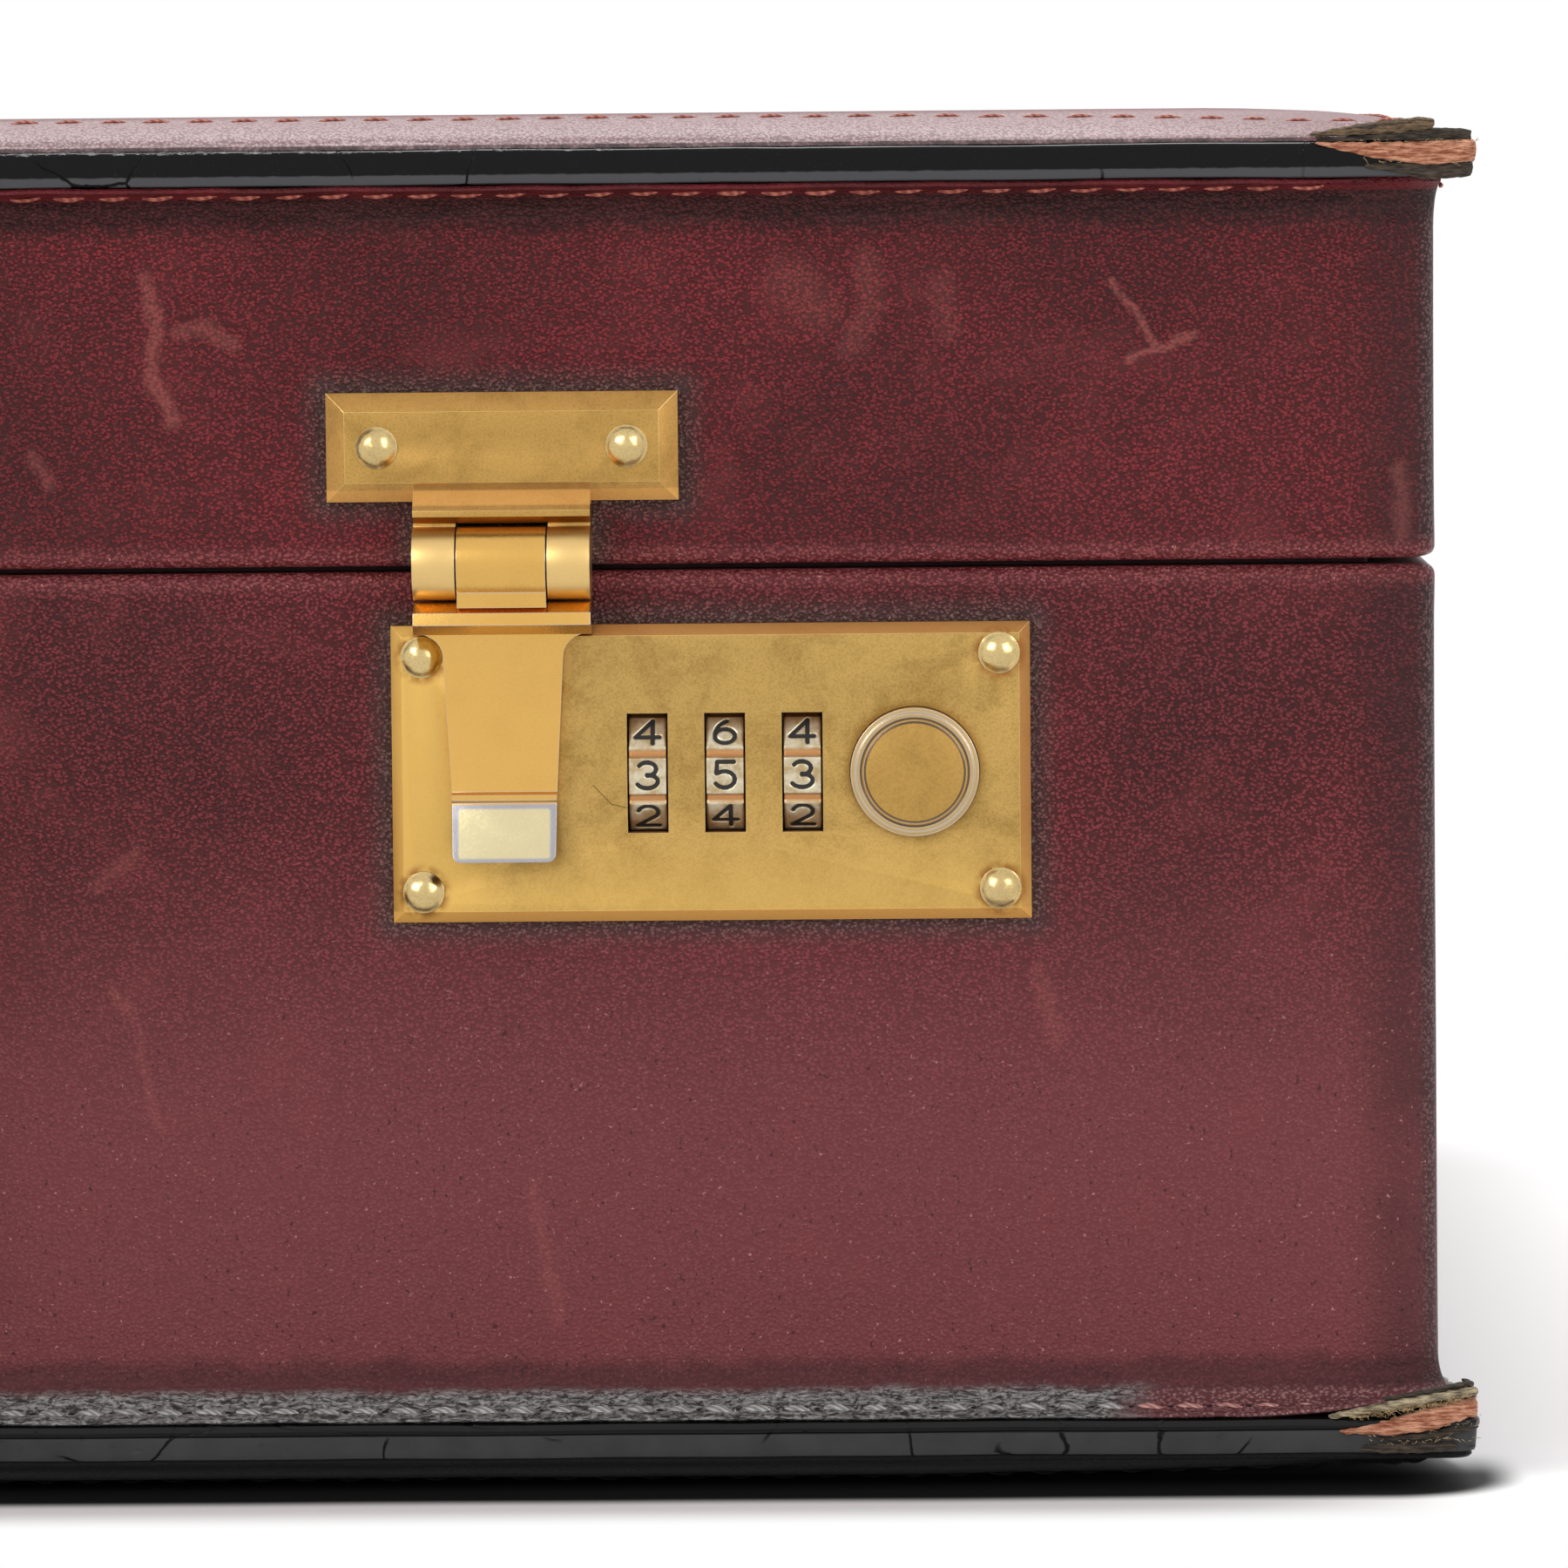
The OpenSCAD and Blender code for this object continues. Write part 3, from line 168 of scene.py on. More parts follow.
def baked(piece):
    """Applies the piece's modifiers to its mesh."""
    graph = bpy.context.evaluated_depsgraph_get()
    mesh = bpy.data.meshes.new_from_object(piece.evaluated_get(graph))
    piece.modifiers.clear()
    piece.data = mesh
    return piece


def cut_boxes(piece, boxes):
    """Cuts boxes, each given by its lowest and highest corner, out of a piece."""
    corners = np.array([[x, y, z] for x in (0, 1) for y in (0, 1) for z in (0, 1)])
    sides = np.array([[0, 1, 3, 2], [4, 6, 7, 5], [0, 4, 5, 1], [2, 3, 7, 6], [0, 2, 6, 4], [1, 5, 7, 3]])
    lows, highs = np.array(boxes, float).transpose(1, 0, 2)
    points = (lows[:, None] + corners * (highs - lows)[:, None]).reshape(-1, 3)
    faces = np.concatenate([sides + 8 * k for k in range(len(boxes))])
    cutter = bpy.data.objects.new("cutter", make_mesh("cutter", points, [faces]))
    bpy.context.scene.collection.objects.link(cutter)
    cut = piece.modifiers.new("cut", "BOOLEAN")
    cut.operation = "DIFFERENCE"
    cut.solver = "MANIFOLD"
    cut.object = cutter
    baked(piece)
    bpy.data.objects.remove(cutter)
    return piece


def strands(paths, radius, up, sides, squash=1.0):
    """Tubes along many paths at once: `sides` points at `radius` round each point of a path,
    P + r (cos a across + squash sin a lift), closed by a flat face at both ends."""
    count, length = paths.shape[:2]
    along = np.gradient(paths, axis=1)
    along /= np.linalg.norm(along, axis=2, keepdims=True)
    across = np.cross(along, np.broadcast_to(up, paths.shape))
    across /= np.linalg.norm(across, axis=2, keepdims=True)
    lift = np.cross(across, along)
    turn = 2 * np.pi * np.arange(sides) / sides
    r = np.broadcast_to(radius, (count, length))[..., None, None]
    ring = across[:, :, None] * np.cos(turn)[:, None] + lift[:, :, None] * np.sin(turn)[:, None] * squash
    points = (paths[:, :, None] + r * ring).reshape(-1, 3)
    index = np.arange(count * length * sides).reshape(count, length, sides)
    after = np.roll(index, -1, axis=2)
    quads = np.stack([index[:, :-1], index[:, 1:], after[:, 1:], after[:, :-1]], -1).reshape(-1, 4)
    caps = np.concatenate([index[:, 0], index[:, -1, ::-1]])
    return points, [quads, caps]


def turned(profile, centre, axis, steps):
    """Surface turned round an axis through `centre`: a profile of (distance along, radius) points
    swept through a full circle."""
    axis = np.array(axis, float)
    side = np.cross(axis, [0.3, 0.5, 0.81])
    side /= np.linalg.norm(side)
    other = np.cross(axis, side)
    a = 2 * np.pi * np.arange(steps) / steps
    spoke = np.cos(a)[:, None] * side + np.sin(a)[:, None] * other
    profile = np.array(profile, float)
    points = np.array(centre) + profile[:, 0, None, None] * axis + profile[:, 1, None, None] * spoke
    return points.reshape(-1, 3)


# The path round the case

def stations(half):
    """Stations along one straight side: 3 mm apart, and 1 mm apart near its ends."""
    even = np.linspace(-half, half, 2 * int(half / 3) + 1)
    near = half - np.arange(0, 26, 1.0)
    return np.unique(np.round(np.concatenate([even[np.abs(even) < half - 26], near, -near]), 3))


class Loop:
    """Columns of the path round the case, anticlockwise from the front's left end: on each straight a
    fixed wall point and its outward normal, on each corner the angle round the corner's centre."""

    def __init__(self):
        xs = stations(WALL_X - 4)
        ys = stations(WALL_Y - 4)
        turn = np.linspace(0, 90, 13)
        parts = []
        self.reach = 1.0
        for q, run in enumerate((xs, ys, xs[::-1], ys[::-1])):
            angle = math.radians(90 * q - 90)
            ux, uy = round(math.cos(angle)), round(math.sin(angle))
            bx = run if ux == 0 else np.full(len(run), WALL_X * ux)
            by = run if uy == 0 else np.full(len(run), WALL_Y * uy)
            blank = np.zeros(len(run))
            parts.append([bx, by, blank + ux, blank + uy, blank, blank, blank])
            a = np.radians(90 * q - 90 + turn)
            sx, sy = ((1, -1), (1, 1), (-1, 1), (-1, -1))[q]
            blank = np.zeros(len(turn))
            parts.append([blank, blank, np.cos(a), np.sin(a), blank + sx, blank + sy, blank + 1])
        table = np.hstack([np.array(p) for p in parts])
        self.bx, self.by, self.ux, self.uy, self.sx, self.sy, arc = table
        self.arc = arc > 0
        self.count = len(arc)
        wall = self.points(np.zeros((1, self.count)), np.zeros((1, self.count)))[0]
        self.to_corner = WALL_X - np.abs(wall[:, 0]) + WALL_Y - np.abs(wall[:, 1])
        on_side = (np.abs(self.ux) > 0.99) & ~self.arc
        depth = WALL_Y - np.abs(self.by)
        tuck = SIDE_TUCK * smoothstep(depth, 4, 24) - 0.3 * smoothstep(depth, 35, 80)
        self.reach = np.where(on_side, 1 - tuck, 1)

    def points(self, out, z, shrink=1.0):
        """Grid of points `out` beyond the walls at height z. On the straights P = wall + out n. On a corner
        P = C + r (cos a, sin a), its centre C at (half width + out - r, half depth + out - r), with r going
        from 4 at the walls to 1.8 at the flange, and to 0.8 inside them; the straights end where the corners
        start. `shrink` scales it all towards the middle of the case."""
        out = np.asarray(out, float) + np.zeros(self.count)
        out = np.where(out > 0, out * self.reach, out)
        out_x = np.where(out > 0, out * SIDE_SHARE, out)
        r = np.where(out > 0, 4 - 2.2 * np.clip(out / FLANGE_OUT, 0, 1), np.maximum(0.8, 4 + out))
        half_x = WALL_X + out_x - r
        half_y = WALL_Y + out - r
        x = np.where(self.arc, self.sx * half_x + r * self.ux,
                     np.where(self.ux == 0, np.clip(self.bx, -half_x, half_x), self.bx + out_x * self.ux))
        y = np.where(self.arc, self.sy * half_y + r * self.uy,
                     np.where(self.uy == 0, np.clip(self.by, -half_y, half_y), self.by + out * self.uy))
        z = np.asarray(z, float) + np.zeros_like(x)
        return np.stack([x * shrink, y * shrink, z], -1)


LOOP = Loop()


def swept(profile, change=None):
    """Ring whose section is a profile of (out, z, shrink) points; `change` may move the grid. The profile is
    closed, unless it starts and ends in the middle of the case, where shrink is 0."""
    profile = np.array([tuple(p) + (1.0,) * (3 - len(p)) for p in profile], float)
    out = profile[:, 0, None] + np.zeros(LOOP.count)
    z = profile[:, 1, None] + np.zeros(LOOP.count)
    if change:
        out, z = change(out, z)
    points = LOOP.points(out, z, profile[:, 2, None])
    closed = profile[0, 2] > 0
    faces = grid_faces(len(profile), LOOP.count, closed, True)
    return points.reshape(-1, 3), faces


def for_lid(points):
    """Turns a shape of the base over for the lid: z becomes case height - z."""
    return points * [1, 1, -1] + [0, 0, CASE_H]


def arc(cx, cz, r, a0, a1, steps):
    """Points (cx + r cos a, cz + r sin a) from angle a0 to a1 in degrees."""
    a = np.radians(np.linspace(a0, a1, steps + 1))
    return [(cx + r * math.cos(t), cz + r * math.sin(t)) for t in a]


def flare(t):
    """Point of the leather's flare, a quadratic curve from the flange's tip, t = 0, to the wall, t = 1."""
    rise = FLARE_TOP - WELT_Z1
    out = (1 - t) ** 2 * FLANGE_OUT + 2 * t * (1 - t) * 0.2
    z = WELT_Z1 + 0.5 + 2 * t * (1 - t) * 0.14 * rise + t * t * (rise - 0.5)
    return out, z


def shoulder(k):
    """Point of the panel's shoulder, a quarter ellipse from the flat panel at k = 0 to the welt at k = 1."""
    a = math.pi / 2 * k
    return -SHOULDER + (SHOULDER + 4.0) * math.sin(a), 2.7 * (1 - math.cos(a))


# Shader helpers

def tone(r, g, b):
    """Linear colour of an sRGB colour given in steps of 255."""
    values = [c / 255 for c in (r, g, b)]
    return tuple(v / 12.92 if v < 0.04 else ((v + 0.055) / 1.055) ** 2.4 for v in values) + (1.0,)


class Wire:
    """A value in a shader. An expression on wires adds the Math nodes that work it out."""

    def __init__(self, finish, socket):
        self.finish = finish
        self.socket = socket

    def math(self, operation, *others):
        return self.finish.node("ShaderNodeMath", {"operation": operation}, self, *others)

    def __add__(self, other):
        return self.math("ADD", other)

    def __sub__(self, other):
        return self.math("SUBTRACT", other)

    def __mul__(self, other):
        return self.math("MULTIPLY", other)

    def __truediv__(self, other):
        return self.math("DIVIDE", other)

    def __pow__(self, other):
        return self.math("POWER", other)

    def __rsub__(self, other):
        return self.finish.node("ShaderNodeMath", {"operation": "SUBTRACT"}, other, self)

    __radd__ = __add__
    __rmul__ = __mul__

    def size(self):
        return self.math("ABSOLUTE")

    def least(self, other):
        return self.math("MINIMUM", other)

    def most(self, other):
        return self.math("MAXIMUM", other)

    def ramp(self, low, high):
        """0 up to low and 1 from high, smooth between; with low above high it falls from 1 to 0."""
        return self.finish.node("ShaderNodeMapRange", {"interpolation_type": "SMOOTHSTEP"}, self, low, high)


class Finish:
    """One material, with methods that add nodes to it and return their outputs."""

    def __init__(self, name, **fixed):
        self.material = bpy.data.materials.new(name)
        self.material.use_nodes = True
        self.nodes = self.material.node_tree.nodes
        self.links = self.material.node_tree.links
        self.nodes.clear()
        self.shader = self.nodes.new("ShaderNodeBsdfPrincipled")
        self.output = self.nodes.new("ShaderNodeOutputMaterial")
        self.links.new(self.shader.outputs[0], self.output.inputs[0])
        for socket, value in fixed.items():
            self.shader.inputs[socket.replace("_", " ")].default_value = value
        self.place = self.node("ShaderNodeTexCoord", out="Object")
        self.at = self.scaled(self.place, 1000)
        self.x = self.part(0)
        self.y = self.part(1)
        self.z = self.part(2)

    def node(self, kind, settings=None, *values, out=0, **named):
        """Adds a node: its settings first, then the values or links of its sockets; returns one output."""
        node = self.nodes.new(kind)
        for key, value in (settings or {}).items():
            setattr(node, key, value)
        for key, value in list(enumerate(values)) + list(named.items()):
            self.feed(node.inputs[key.replace("_", " ") if isinstance(key, str) else key], value)
        return Wire(self, node.outputs[out])

    def feed(self, socket, value):
        if isinstance(value, Wire):
            self.links.new(value.socket, socket)
        elif value is not None:
            socket.default_value = value

    def part(self, k):
        return self.node("ShaderNodeSeparateXYZ", None, self.at, out=k)

    def vector(self, operation, *values, out=0):
        return self.node("ShaderNodeVectorMath", {"operation": operation}, *values, out=out)

    def scaled(self, vector, factor):
        return self.node("ShaderNodeVectorMath", {"operation": "SCALE"}, vector, Scale=factor)

    def join(self, x, y, z):
        return self.node("ShaderNodeCombineXYZ", None, x, y, z)

    def noise(self, size, detail=2.0, roughness=0.5, at=None, distortion=0.0):
        """Noise from 0 to 1 whose lumps are about `size` millimetres across."""
        return self.node("ShaderNodeTexNoise", None, at or self.at, Scale=1 / size, Detail=detail,
                         Roughness=roughness, Distortion=distortion)

    def drift(self, scale, detail=2.0, roughness=0.5, at=None):
        """Vector whose three parts are noises from 0 to 1."""
        return self.node("ShaderNodeTexNoise", None, at or self.at, Scale=scale, Detail=detail,
                         Roughness=roughness, out="Color")

    def cells(self, size, feature="F1", at=None):
        """Distance inside cells of about `size` millimetres."""
        return self.node("ShaderNodeTexVoronoi", {"feature": feature}, at or self.at, Scale=1 / size)

    def value(self, name):
        return self.node("ShaderNodeAttribute", {"attribute_name": name}, out="Fac")

    def mix(self, factor, a, b):
        """Colour a where factor is 0 and b where it is 1."""
        node = self.nodes.new("ShaderNodeMix")
        node.data_type = "RGBA"
        self.feed(node.inputs[0], factor)
        self.feed(node.inputs[6], a)
        self.feed(node.inputs[7], b)
        return Wire(self, node.outputs[2])

    def bump(self, height, depth, under=None):
        """Normal of a relief whose height goes from 0 to 1 over `depth` millimetres."""
        return self.node("ShaderNodeBump", None, Strength=1.0, Distance=depth * MM, Height=height,
                         Normal=under)

    def wear(self, **looks):
        """Links the shader's sockets."""
        for socket, value in looks.items():
            self.feed(self.shader.inputs[socket.replace("_", " ")], value)
        return self.material

    def line(self, points, at):
        """Distance in millimetres from a bent line of (x, z) points, seen from the front."""
        nearest = None
        for (x0, z0), (x1, z1) in zip(points[:-1], points[1:]):
            run = (x1 - x0, 0, z1 - z0)
            span = (x1 - x0) ** 2 + (z1 - z0) ** 2
            to = self.vector("SUBTRACT", at, (x0, 0, z0))
            t = self.vector("DOT_PRODUCT", to, run, out=1) / span
            t = t.most(0).least(1)
            gap = self.vector("LENGTH", self.vector("SUBTRACT", to, self.scaled(run, t)), out=1)
            nearest = gap if nearest is None else nearest.least(gap)
        return nearest

    def box_gap(self, cx, cz, half_x, half_z):
        """Distance in millimetres outside an upright rectangle, the same on the left side of the case."""
        dx = (self.x.size() - cx).size() - half_x
        dz = (self.z - cz).size() - half_z
        dx = dx.most(0)
        dz = dz.most(0)
        return (dx * dx + dz * dz) ** 0.5


def pebble(f, size, at=None):
    """Height of pebbled leather grain, 0 in the creases and 1 on the pebbles."""
    spot = at or f.at
    bent = f.vector("ADD", spot, f.scaled(f.drift(1.1 / size, at=spot), size))
    beads = f.cells(size, "F1", bent).ramp(0.85, 0.0)
    lumps = f.noise(size * 0.8, 3.0, 0.7)
    return beads * 0.5 + lumps * 0.6


# Scuffs of the front wall, each a bent line of (x, z) points, its half width and its strength
SCUFFS = (
    (((92, 122), (92.7, 117), (92.3, 112), (94.5, 107.5)), 0.4, 0.7),
    (((95, 116.4), (98, 116.9), (100.5, 115.2)), 0.4, 0.55),
    (((188.5, 121), (190.7, 117.5), (193.5, 114.0)), 0.22, 0.75),
    (((190.1, 113.2), (192.5, 113.8), (196.5, 115.2)), 0.2, 0.8),
    (((164, 123), (164.4, 118.5), (162.3, 114.5)), 0.7, 0.32),
    (((156.5, 121.5), (159, 118.5)), 1.2, 0.3),
    (((171.5, 121.0), (172, 116.0)), 0.7, 0.25),
    (((87.5, 50.5), (90, 47.0), (90.5, 42.0), (92, 36.5)), 0.3, 0.3),
    (((180.7, 51.5), (182.5, 45.0)), 0.5, 0.3),
    (((129.5, 30.0), (132.1, 17.0)), 0.4, 0.3),
    (((86, 61.0), (90, 64.0)), 0.3, 0.3),
    (((217.2, 101.5), (217.3, 95.5)), 0.45, 1.0),
    (((80, 104.5), (82, 101.0)), 0.3, 0.4),
    (((-128, 120), (-124, 114), (-125, 108)), 0.4, 0.6),
    (((-190, 60), (-184, 52), (-183, 40)), 0.4, 0.4),
    (((-40, 118), (-30, 114), (-22, 115)), 0.4, 0.5),
    (((30, 76), (44, 70)), 0.4, 0.4),
    (((-205, 110), (-196, 118)), 0.3, 0.5),
)


def scuffs(f, lid, shown):
    """Strength of one half's scuffs, drawn on a slightly crooked plane so that they break up."""
    crook = f.scaled(f.vector("SUBTRACT", f.drift(0.35, 4.0, 0.65), (0.5, 0.5, 0.5)), 2.4)
    flat = f.vector("MULTIPLY", f.vector("ADD", f.at, crook), (1, 0, 1))
    strongest = None
    for points, width, strength in SCUFFS:
        if (points[0][1] > SEAM_Z) == lid:
            mark = f.line(points, flat).ramp(width * 3.4, width * 0.1) * strength
            strongest = mark if strongest is None else strongest.most(mark)
    return strongest * shown


def gap_to_brass(f, lid):
    """Distance in millimetres from the lock plates, or from the T shape of the hasp plates."""
    if lid:
        bar = f.box_gap(HASP_X, TEE_Z, TEE_HALF_X, TEE_HALF_Z)
        return bar.least(f.box_gap(HASP_X, 96, 8.9, 9))
    return f.box_gap(LOCK_X, LOCK_Z, PLATE_HALF_X, PLATE_HALF_Z)


def wall_colour(f, lid, grain, large, low):
    """Clean leather: dark creases and pebble tops painted paler as sheen; low on the base, worn pits, and
    creases and tops painted paler as light bounced up from the floor.
    """
    crease = f.mix(large.ramp(0.3, 0.7), tone(50, 2, 6), tone(66, 5, 10))
    # painted sheen: the pebble tops are painted paler and greyer than the creases
    dull, fresh = ((108, 33, 39), (130, 43, 49)) if lid else ((112, 42, 48), (130, 52, 58))
    top = f.mix(large.ramp(0.35, 0.7), tone(*dull), tone(*fresh))
    # low on the base: worn pits, and creases and tops painted paler as light bounced up from the floor
    if not lid:
        pits = f.noise(0.55, 2.0, 0.6, f.join(f.x, f.y, f.z * 0.7)).ramp(0.36, 0.28)
        crease = f.mix(low, crease, f.mix(pits, tone(100, 44, 48), tone(60, 22, 26)))
        top = f.mix(low, top, f.mix(pits, tone(114, 56, 60), tone(70, 28, 32)))
    return f.mix(grain.ramp(0.36, 0.78), crease, top)


def wall_leather(name, lid):
    """Waxed burgundy leather of the walls: pebble grain, scuffs, a grey halo round the brass, a painted
    grazing sheen on the upright corners, a painted highlight and glints on the rim, dirt and painted shade
    next to the stitched flange, and a flange that is dark on the lid and worn grey on the base."""
    f = Finish(name, Specular_IOR_Level=0.22)
    rise = (CASE_H - f.z) if lid else f.z
    grain = pebble(f, 0.37, f.join(f.x * 0.8 + f.z * 0.4, f.y, f.z * 0.95 - f.x * 0.35))
    large = f.noise(38, 3.0, 0.6)
    cloud = f.noise(9, 4.0, 0.6)
    speck = f.noise(0.42, 2.0, 0.6)
    front = (f.y + WALL_Y).ramp(3.0, 1.0)
    # low on the base: worn flatter with pits, and painted paler as floor-bounce light
    low = rise * 0 if lid else rise.ramp(74, 30)
    colour = wall_colour(f, lid, grain, large, low)
    colour = f.mix(cloud.ramp(0.5, 0.8) * 0.3, colour, tone(122, 52, 50))
    scuff = scuffs(f, lid, front * grain.ramp(0.1, 0.5))
    colour = f.mix(scuff * 0.62, colour, tone(156, 86, 80))
    # upright corners darker near them, with a painted grazing sheen on their rounding; the rim painted paler
    # as a highlight
    dark = f.x.size().ramp(WALL_X - 10, WALL_X - 3) * f.y.size().ramp(WALL_Y - 10, WALL_Y - 3)
    colour = f.mix(dark * (cloud * 0.7 + 0.1), colour, tone(34, 14, 16))
    corner = f.x.size().ramp(WALL_X - 1.8, WALL_X - 0.2) * f.y.size().ramp(WALL_Y - 4, WALL_Y - 1.5)
    rim = (rise - (LID_RIM if lid else BASE_RIM)).ramp(-2.6, -0.6)
    pitted_grazing_sheen = f.mix(grain.ramp(0.4, 0.8), tone(26, 15, 16), tone(122, 102, 102))
    colour = f.mix(corner * 0.45, colour, pitted_grazing_sheen)
    # painted highlight: the rounded rim painted paler
    colour = f.mix(rim * 0.65, colour, f.mix(grain.ramp(0.3, 0.8), tone(92, 30, 34), tone(150, 82, 82)))
    # painted glints: pale specks on the rim, fainter low on the base and all over
    painted_glints = (rim.most(low * 0.5 + 0.15)) * speck.ramp(0.66, 0.76)
    colour = f.mix(painted_glints, colour, tone(186, 130, 124))
    # dust halo round the brass
    gap = gap_to_brass(f, lid)
    halo = gap.ramp(3.4, 0.0) * front
    colour = f.mix(halo * 0.75, colour, f.mix(grain.ramp(0.4, 0.85), tone(52, 37, 36), tone(112, 94, 89)))
    dust = gap.ramp(1.4, 0.1) * front * speck.ramp(0.58, 0.72)
    colour = f.mix(dust * 0.5, colour, tone(150, 138, 130))
    # flange, and the strip next to it darkened with dirt and painted shade in the cove
    edge = rise - f.noise(7, 3.0, 0.6) * 3 + 1.5
    dirt_and_shade = edge.ramp(12.8, 10.0) if lid else edge.ramp(13.6, 11.6)
    wrinkle = f.noise(1.1, 3.0, 0.65, f.join(f.x * 0.12, f.y * 0.12, f.z))
    grime_and_shade = f.mix((grain * 0.5 + wrinkle * 0.6).ramp(0.35, 0.8), tone(20, 6, 8), tone(72, 37, 37))
    colour = f.mix(dirt_and_shade * (0.8 if lid else 0.6), colour, grime_and_shade)
    if lid:
        lip = rise.ramp(8.5, 8.0)
        colour = f.mix(lip, colour, f.mix(cloud.ramp(0.4, 0.6), tone(92, 22, 27), tone(74, 16, 20)))
        height = grain * 0.3 + cloud * 0.35 + wrinkle * dirt_and_shade * 0.4
    else:
        bare = (f.x + cloud * 6).ramp(190, 197) * front
        lip = (rise + cloud * 1.4).ramp(11.0, 9.7)
        swirl = f.vector("ADD", f.join(f.x * 0.3, f.y * 0.3, f.z * 1.2), f.drift(0.5))
        fibre = f.noise(0.27, 4.0, 0.75, swirl)
        grey = f.mix(fibre.ramp(0.38, 0.68), tone(34, 32, 32), tone(158, 156, 154))
        wine = f.mix(grain.ramp(0.4, 0.8), tone(84, 44, 47), tone(146, 106, 105))
        colour = f.mix(lip * (1 - bare), colour, grey)
        colour = f.mix(bare * rise.ramp(10.0, 9.0), colour, wine)
        height = grain * (1 - lip) * (1 - low * 0.5) * 0.3 + fibre * lip * (1 - bare) * 0.16 + cloud * 0.35
    rough = 0.33 + scuff * 0.2 + dirt_and_shade * 0.15 + low * 0.14
    return f.wear(Base_Color=colour, Roughness=rough, Normal=f.bump(height, 1.0))


def panel_leather(name, lid):
    """Burgundy leather of the top and bottom, with fine pebbles, a pale painted sheen on the lid's shoulder
    and long scratches. The bottom's shoulder is painted near black as painted shadow under the case."""
    f = Finish(name, Specular_IOR_Level=0.5 if lid else 0.12)
    grain = pebble(f, 0.34)
    cloud = f.noise(26, 4.0, 0.6)
    fine = f.noise(3, 3.0, 0.6)
    run = f.join(f.x * 0.06 + f.y * 0.03, f.y * 1.1 - f.x * 0.2, f.z)
    scratch = f.noise(2.5, 3.0, 0.6, run).ramp(0.62, 0.7)
    colour = f.mix(cloud.ramp(0.3, 0.7), tone(92, 40, 44), tone(112, 58, 60))
    colour = f.mix(grain.ramp(0.55, 0.3) * 0.8, colour, tone(50, 18, 20))
    colour = f.mix(scratch * fine.ramp(0.5, 0.8) * 0.25, colour, tone(150, 98, 94))
    shelf = (f.z - CASE_H / 2).size()
    if lid:
        # painted sheen: the lid's shoulder painted pale, as it shines at a grazing view
        bloom = shelf.ramp(69.0, 68.5) * (0.6 + fine * 0.3) * (1 - f.x.size().ramp(190, 214) * 0.5)
        colour = f.mix(bloom, colour, f.mix(grain.ramp(0.3, 0.7), tone(118, 92, 94), tone(160, 138, 139)))
        edge = shelf.ramp(66.2, 65.9) * fine.ramp(0.3, 0.62)
        colour = f.mix(edge * 0.8, colour, tone(58, 42, 42))
    else:
        # painted shadow: the bottom's shoulder under the case painted near black
        colour = f.mix((shelf + fine * 0.5).ramp(69.2, 68.9), colour, tone(4, 4, 4))
    height = fine * 0.03 + grain * 0.07
    return f.wear(Base_Color=colour, Roughness=0.5 + grain.ramp(0.5, 0.1) * 0.15, Normal=f.bump(height, 1.0))


def edge_paint(name, lid):
    """Black edge paint: a glossy bead next to the wall leather, chips to pale leather along the top, fine
    branching cracks and a matt, rubbed lower band painted grey as a reflection."""
    f = Finish(name, Specular_IOR_Level=0.12, Coat_Roughness=0.06)
    rise = f.z - (CASE_H - WELT_Z1 if lid else WELT_Z0)
    along = f.x + f.y
    wavy = f.noise(2.2, 3.0, 0.6)
    dust = f.noise(0.35, 2.0, 0.6)
    run = f.join(f.x * 0.35, f.y * 0.35, f.z)
    pale = f.noise(0.5, 4.0, 0.75, run).ramp(0.5, 0.62)
    colour = f.mix(dust.ramp(0.6, 0.8) * 0.5, tone(8, 8, 9), tone(34, 34, 35))
    if lid:
        chipped = (rise + wavy * 0.8 - 0.6 - f.x.ramp(100, 190) * 0.4).ramp(3.0, 3.3)
        # lower band: matt and rubbed, and painted grey as a painted reflection
        rubbed_and_sheen_band = (rise + wavy * 0.35).ramp(1.3, 1.1)
        colour = f.mix(rubbed_and_sheen_band, colour, tone(66, 65, 67))
        colour = f.mix(chipped * pale * 0.6, colour, tone(128, 128, 132))
        pale = chipped * pale
    else:
        # lower band: matt and rubbed, and painted grey as a painted reflection
        rubbed_and_sheen_band = rise.ramp(2.36, 2.26)
        colour = f.mix(rubbed_and_sheen_band, colour, f.mix(f.noise(4, 3.0, 0.6), tone(44, 44, 45), tone(66, 66, 67)))
        pale = pale * wavy.ramp(0.6, 0.7)
    bent = f.vector("ADD", f.at, f.drift(0.5, 3.0))
    crack = f.cells(15.0, "DISTANCE_TO_EDGE", bent).ramp(0.012, 0.004) * f.noise(19).ramp(0.5, 0.54)
    colour = f.mix(crack, colour, tone(2, 2, 2))
    nick = f.cells(9.0, "F1", f.join(along * 0.7, rise * 1.6, f.noise(30))).ramp(0.07, 0.03)
    colour = f.mix(nick * pale, colour, tone(205, 205, 208))
    rough = 0.14 + rubbed_and_sheen_band * 0.34 + pale * 0.3
    height = f.noise(5, 2.0) * 0.3 - crack * 0.12 - nick * 0.06 - pale * 0.05
    coat = (1 - rubbed_and_sheen_band) * (1 - pale) * (0.06 if lid else 0.3)
    return f.wear(Base_Color=colour, Roughness=rough, Coat_Weight=coat, Normal=f.bump(height, 1.0))


